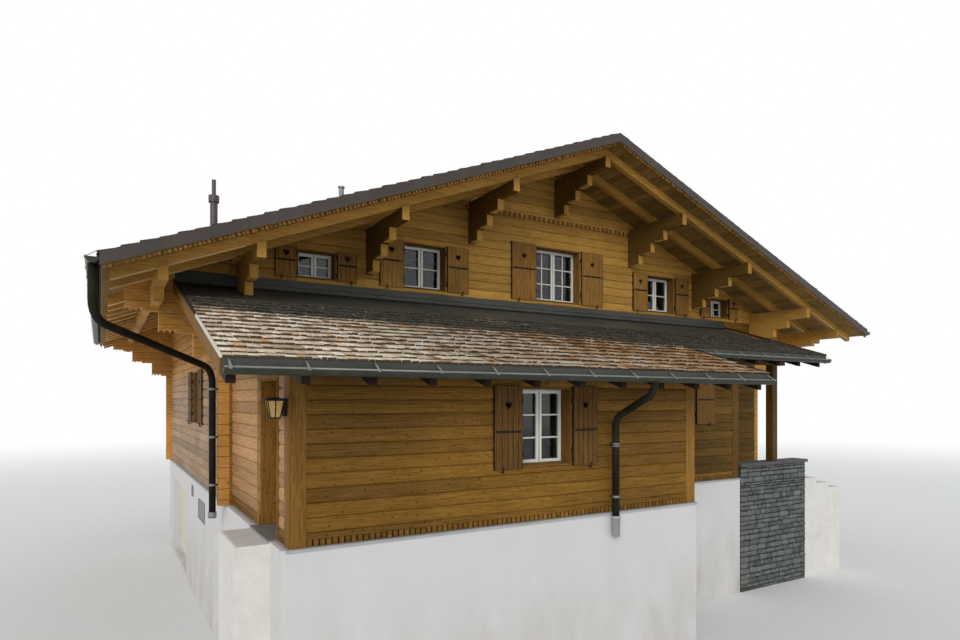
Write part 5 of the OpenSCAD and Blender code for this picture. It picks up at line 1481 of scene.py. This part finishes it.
# %% Frame and planks on the door's leaf
LEAF_Y, STILE, PLANK_PITCH = -2.64, 0.085, 0.1015
leaf_middle = np.array([-6.558, LEAF_Y, 3.607])
panel = frame_of_bars(leaf_middle, Y, -X, 0.78, 1.76, STILE, 0.020, 0.005)
lock_rail = carry(rounded_bar(STILE, 0.020, 0.005), leaf_middle + [0, -0.305, -0.10], 0.61 * Y, Z,
                  -X)
plank_y = LEAF_Y + (np.arange(6) - 3) * PLANK_PITCH
plank_foot = np.stack([0 * plank_y - 6.554, plank_y + 0.05, 0 * plank_y + 2.81], 1)
planks = carry(rounded_bar(0.096, 0.012, 0.005), plank_foot, 1.59 * Z, Y, -X)
put("door_planks", together(panel, lock_rail, planks), door_trim, body="door")

# %% [markdown]
# ## The lantern
# A lantern of bent iron hangs beside the door: a roof of plates, a cage of thin bars that lean
# inwards, and four amber panes. Its CAD part is one tapered block, so the cage replaces it. Square
# bars that shrink towards one end give the roof, the panes and the foot.

# %% Lantern
LAMP_TOP, PANE_TOP, PANE_TAPER = np.array([-6.97, -3.65, 4.40]), 0.180, 0.60


def square(width, edge=0.004):
    return rounded_bar(width, width, edge)


iron = [carry(square(0.26), LAMP_TOP - 0.012 * Z, -0.014 * Z, X, Y),
        carry(square(0.22), LAMP_TOP - 0.012 * Z, 0.012 * Z, X, Y, sizes=(1, 0.35)),
        carry(square(0.200), LAMP_TOP - 0.026 * Z, -0.014 * Z, X, Y),
        carry(square(0.126), LAMP_TOP - 0.236 * Z, -0.014 * Z, X, Y),
        carry(rounded_bar(0.12, 0.20, 0.01), LAMP_TOP + [0.10, 0, -0.12], 0.035 * X, Y, Z)]
for a, b in ((-1, -1), (-1, 1), (1, -1), (1, 1), (-1, 0), (1, 0), (0, -1), (0, 1)):
    foot = LAMP_TOP + [a * 0.056, b * 0.056, -0.238]
    iron.append(carry(square(0.011, 0.002), foot, [a * 0.038, b * 0.038, 0.20], X, Y))
put("lantern_cage", together(*iron), black_iron)
put("lantern_panes", carry(square(PANE_TOP), LAMP_TOP - 0.038 * Z, -0.2 * Z, X, Y,
                           sizes=(1, PANE_TAPER)), amber)
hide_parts("lantern")

# %% [markdown]
# ## In the plinth's left side
# The garage door shows rows of flat panels. Beside it are a steel hatch and a vent with slanting
# slats. They are seen at a flat angle, where only what stands out is visible. So each is a frame
# of bars or a raised panel on the wall, a few millimetres proud.

# %% Garage door, hatch and vent
PANEL_ROWS, PANELS, PANEL_W, PANEL_H = 4, 6, 0.42, 0.40
GARAGE_X, GARAGE_Y, PANEL_FOOT, PANEL_STEP_Y, PANEL_STEP_Z = -6.752, 5.80, 0.40, 0.4835, 0.49
PLINTH_X = -6.925
panels = []
for row in range(PANEL_ROWS):
    y = GARAGE_Y + np.arange(PANELS) * PANEL_STEP_Y
    at = np.stack([0 * y + GARAGE_X, y + 0.03, 0 * y + PANEL_FOOT + row * PANEL_STEP_Z], 1)
    panels.append(carry(rounded_bar(PANEL_H, 0.024, 0.008), at, PANEL_W * Y, Z, -X))
put("garage_panels", together(*panels), cream_paint)
hatch = np.array([PLINTH_X, 2.99, 2.0625])
hatch_frame = frame_of_bars(hatch, Y, -X, 0.92, 0.415, 0.035, 0.026)
hatch_leaf = carry(rounded_bar(0.34, 0.014), hatch - 0.42 * Y, 0.84 * Y, Z, -X)
put("meter_hatch", together(hatch_frame, hatch_leaf), grey_sheet)
vent = np.array([PLINTH_X, 4.47, 2.305])
slat_foot = vent - 0.11 * Y + np.linspace(-0.085, 0.085, 5)[:, None] * Z
slats = carry(rounded_bar(0.045, 0.006, 0.001), slat_foot, 0.22 * Y, Z * 0.8 - X * 0.6,
              -X * 0.8 - Z * 0.6)
put("vent_louvre", together(frame_of_bars(vent, Y, -X, 0.26, 0.25, 0.024, 0.024), slats),
    grey_sheet)

# %% [markdown]
# ## The flue's collar
# Small lugs stand round the collar of the flue, where its cap is clipped on. An array modifier
# that turns round an empty could place them. A loop over six angles is shorter, and shows where
# each of them goes.

# %% Lugs on the flue's collar
FLUE_X, FLUE_Y, COLLAR_UP, COLLAR_R, LUGS = -6.40, 5.00, 1.96, 0.112, 6
flue_top = np.array([FLUE_X, FLUE_Y, roof_z(FLUE_X) + COLLAR_UP])
lugs = []
for a in np.linspace(0, 2 * np.pi, LUGS, endpoint=False) + 0.3:
    out = np.cos(a) * X + np.sin(a) * Y
    lugs.append(carry(rounded_bar(0.036, 0.030, 0.006), flue_top + COLLAR_R * out + 0.03 * Z,
                      0.10 * Z, np.cross(Z, out), out))
put("flue_lugs", together(*lugs), flue_metal)

# %% [markdown]
# ## Rubble on the porch's parapet
# The parapet is laid from small flat stones in uneven courses, with dark joints. A displaced
# surface would blur them. So each stone is a short bar whose outline bulges and whose ends shrink,
# and every stone gets its own height, length, depth and tilt, all of them in one array.

# %% Stones of the parapet
COURSE_H, SHORTEST, LONGEST, JOINT = 0.105, 0.08, 0.38, 0.018


def stone_face(origin, along, outward, width, low, high):
    """Courses of stones: running sums of random heights, and in each course of random lengths. Each
    stone is then somewhat lower than its course, tipped a little, and in or out by a centimetre."""
    steps = rng.uniform(0.055, 0.155, max(1, round((high - low) / COURSE_H)))
    steps *= (high - low) / steps.sum()  # so that the courses fill the height
    rows, starts, lengths = [], [], []
    for i in range(len(steps)):
        cuts = np.cumsum(rng.uniform(SHORTEST, LONGEST, int(width / 0.12) + 6))
        cuts = np.concatenate([[0.0], cuts])
        cuts = np.append(cuts[cuts < width - SHORTEST], width)
        starts.append(cuts[:-1])
        lengths.append(np.diff(cuts))
        rows.append(np.full(len(cuts) - 1, i))
    u, length, row = (np.concatenate(v) for v in (starts, lengths, rows))
    z = low + (np.cumsum(steps) - steps / 2)[row]
    n = len(u)
    h = (steps[row] - rng.uniform(0.008, 0.030, n))[:, None] / 2
    d = rng.uniform(0.010, 0.034, n)[:, None]
    back = 0 * d - 0.01
    p = np.concatenate([-h, h, h, h * 0.75, h * 0.3, -h * 0.3, -h * 0.78, -h], 1)
    q = np.concatenate([back, back, d * 0.4, d * 0.9, d, d * 1.05, d * 0.85, d * 0.3], 1)
    p = p + rng.uniform(-0.007, 0.007, p.shape)
    tip = rng.uniform(-0.012, 0.012, (n, 1))
    start = np.asarray(origin) + (u[:, None] + 0.008) * along + (z[:, None] - tip / 2) * Z
    return carry(np.stack([p, q], -1), start, (length[:, None] - JOINT) * along + tip * Z, Z,
                 outward, places=(0, 0.12, 0.86, 1), sizes=(0.66, 1, 1, 0.70))


PARAPET_LEFT, PARAPET_RIGHT, PARAPET_FRONT, PARAPET_TOP = 3.76, 6.20, -1.92, 2.85
PARAPET_W, PARAPET_T, GROUND = PARAPET_RIGHT - PARAPET_LEFT, 0.30, 0.01
put("parapet_stones", together(
    stone_face((PARAPET_LEFT, PARAPET_FRONT, 0), X, -Y, PARAPET_W, GROUND, PARAPET_TOP),
    stone_face((PARAPET_RIGHT, PARAPET_FRONT, 0), Y, X, PARAPET_T, GROUND, PARAPET_TOP),
    stone_face((PARAPET_LEFT, PARAPET_FRONT + PARAPET_T, 0), X, Y, PARAPET_W, 2.58, PARAPET_TOP)),
    rubble, smooth=True)

# %% [markdown]
# ## The floor
# The house needs something to stand on, for its shadow. A large plain disc does, with a finish
# that glows white far away, so that floor and background meet without an edge. It glows for the
# camera alone, or it would light the house. The disc is part of the stage and isn't exported.

# %% Floor
def floor_disc(radius=90.0, rings=24, steps=96):
    """A disc on the ground: point = (r cos t, r sin t, 0), r growing as the square of its number,
    and a hub of triangles to the middle."""
    r = radius * (np.arange(1, rings + 1) / rings) ** 2
    t = np.linspace(0, 2 * np.pi, steps, endpoint=False)
    points = np.stack([np.outer(r, np.cos(t)), np.outer(r, np.sin(t)), 0 * np.outer(r, t)], -1)
    points = np.concatenate([points.reshape(-1, 3), [[0, 0, 0]]])
    i, j = np.meshgrid(np.arange(rings - 1), np.arange(steps), indexing="ij")
    k = (j + 1) % steps
    quads = np.stack([i * steps + j, (i + 1) * steps + j, (i + 1) * steps + k, i * steps + k], -1)
    hub = np.stack([np.full(steps, rings * steps), j[0], k[0]], 1)
    mesh = bpy.data.meshes.new("floor")
    mesh.from_pydata(points.tolist(), [], quads.reshape(-1, 4).tolist() + hub.tolist())
    return mesh


def stage_finish():
    """Glow = how far out the point lies * whether a camera looks at it."""
    bench = Bench("pale_floor", "stage", Roughness=0.9)
    x, y, _ = bench.parts(bench.place())
    squares = bench.math("ADD", bench.math("MULTIPLY", x, x), bench.math("MULTIPLY", y, y))
    far = bench.spread(bench.math("SQRT", squares), 24.0, 70.0, 0.0, 1.0, True)
    grain = bench.noise(bench.place(), 3.0)
    pale = bench.mix(grain, (0.74, 0.735, 0.72), (0.78, 0.775, 0.76))
    bench.tree.links.new(pale, bench.shader.inputs["Base Color"])
    rays = bench.add("ShaderNodeLightPath").outputs
    glow = bench.math("MULTIPLY", far, rays["Is Camera Ray"])
    white = bench.add("ShaderNodeEmission", {"Color": (1, 1, 1, 1), "Strength": 1.0}).outputs[0]
    both = bench.add("ShaderNodeMixShader", {0: glow, 1: bench.shader.outputs[0], 2: white})
    bench.tree.links.new(both.outputs[0], bench.tree.nodes["Material Output"].inputs[0])
    return bench.material


floor = bpy.data.objects.new("floor", floor_disc())
bpy.context.scene.collection.objects.link(floor)
floor.data.materials.append(stage_finish())
floor.location.z = -0.002
print("floor:", len(floor.data.polygons), "faces")

# %% [markdown]
# ## Sky and sun
# One soft sun and a bright even sky light the house at a plain level: a colour then renders about
# as it is written. What the camera sees behind the house, what metal mirrors and what glass shows
# is a white backdrop instead, chosen by the kind of ray, so that the white adds no light to the
# house.

# %% Light
world = bpy.data.worlds.new("sky")
bpy.context.scene.world = world
world.use_nodes = True
graph = Graph(world.node_tree)
sky = graph.tree.nodes["Background"]
sky.inputs["Color"].default_value = (0.93, 0.965, 1.0, 1)
sky.inputs["Strength"].default_value = 0.72
backdrop = graph.add("ShaderNodeBackground", {"Color": (1, 1, 1, 1)})
rays = graph.add("ShaderNodeLightPath").outputs
shown = graph.math("ADD", rays["Is Camera Ray"], rays["Is Glossy Ray"], clamp=True)
shown = graph.math("ADD", shown, rays["Is Transmission Ray"], clamp=True)
blend = graph.add("ShaderNodeMixShader", {0: shown, 1: sky.outputs[0], 2: backdrop.outputs[0]})
graph.tree.links.new(blend.outputs[0], graph.tree.nodes["World Output"].inputs[0])

sun = bpy.data.lights.new("soft_sun", "SUN")
sun.energy, sun.angle = 1.4, 0.5
lamp = bpy.data.objects.new("soft_sun", sun)
lamp.rotation_euler = np.radians([66, 0, -40]).tolist()
bpy.context.scene.collection.objects.link(lamp)
print("sky", sky.inputs["Strength"].default_value, "sun", sun.energy)

# %% [markdown]
# ## Camera
# The camera stands at the house's front left, level, with a wide lens, where the view matches the
# house's own perspective. Tilted up, it would make the corner posts lean. So it stays level, and
# the picture is shifted up instead, as with an architect's lens.

# %% Camera
lens = bpy.data.cameras.new("camera")
lens.lens, lens.sensor_width, lens.shift_y, lens.clip_end = 24.0, 36.0, 80 / 960, 300.0
camera = bpy.data.objects.new("camera", lens)
camera.location = (-8.74, -11.4, 4.37)
camera.rotation_euler = np.radians([90, 0, -30.7]).tolist()
bpy.context.scene.collection.objects.link(camera)
bpy.context.scene.camera = camera
bpy.context.scene.view_settings.view_transform = "Standard"
print("camera at", [round(v, 2) for v in camera.location], "lens", lens.lens)
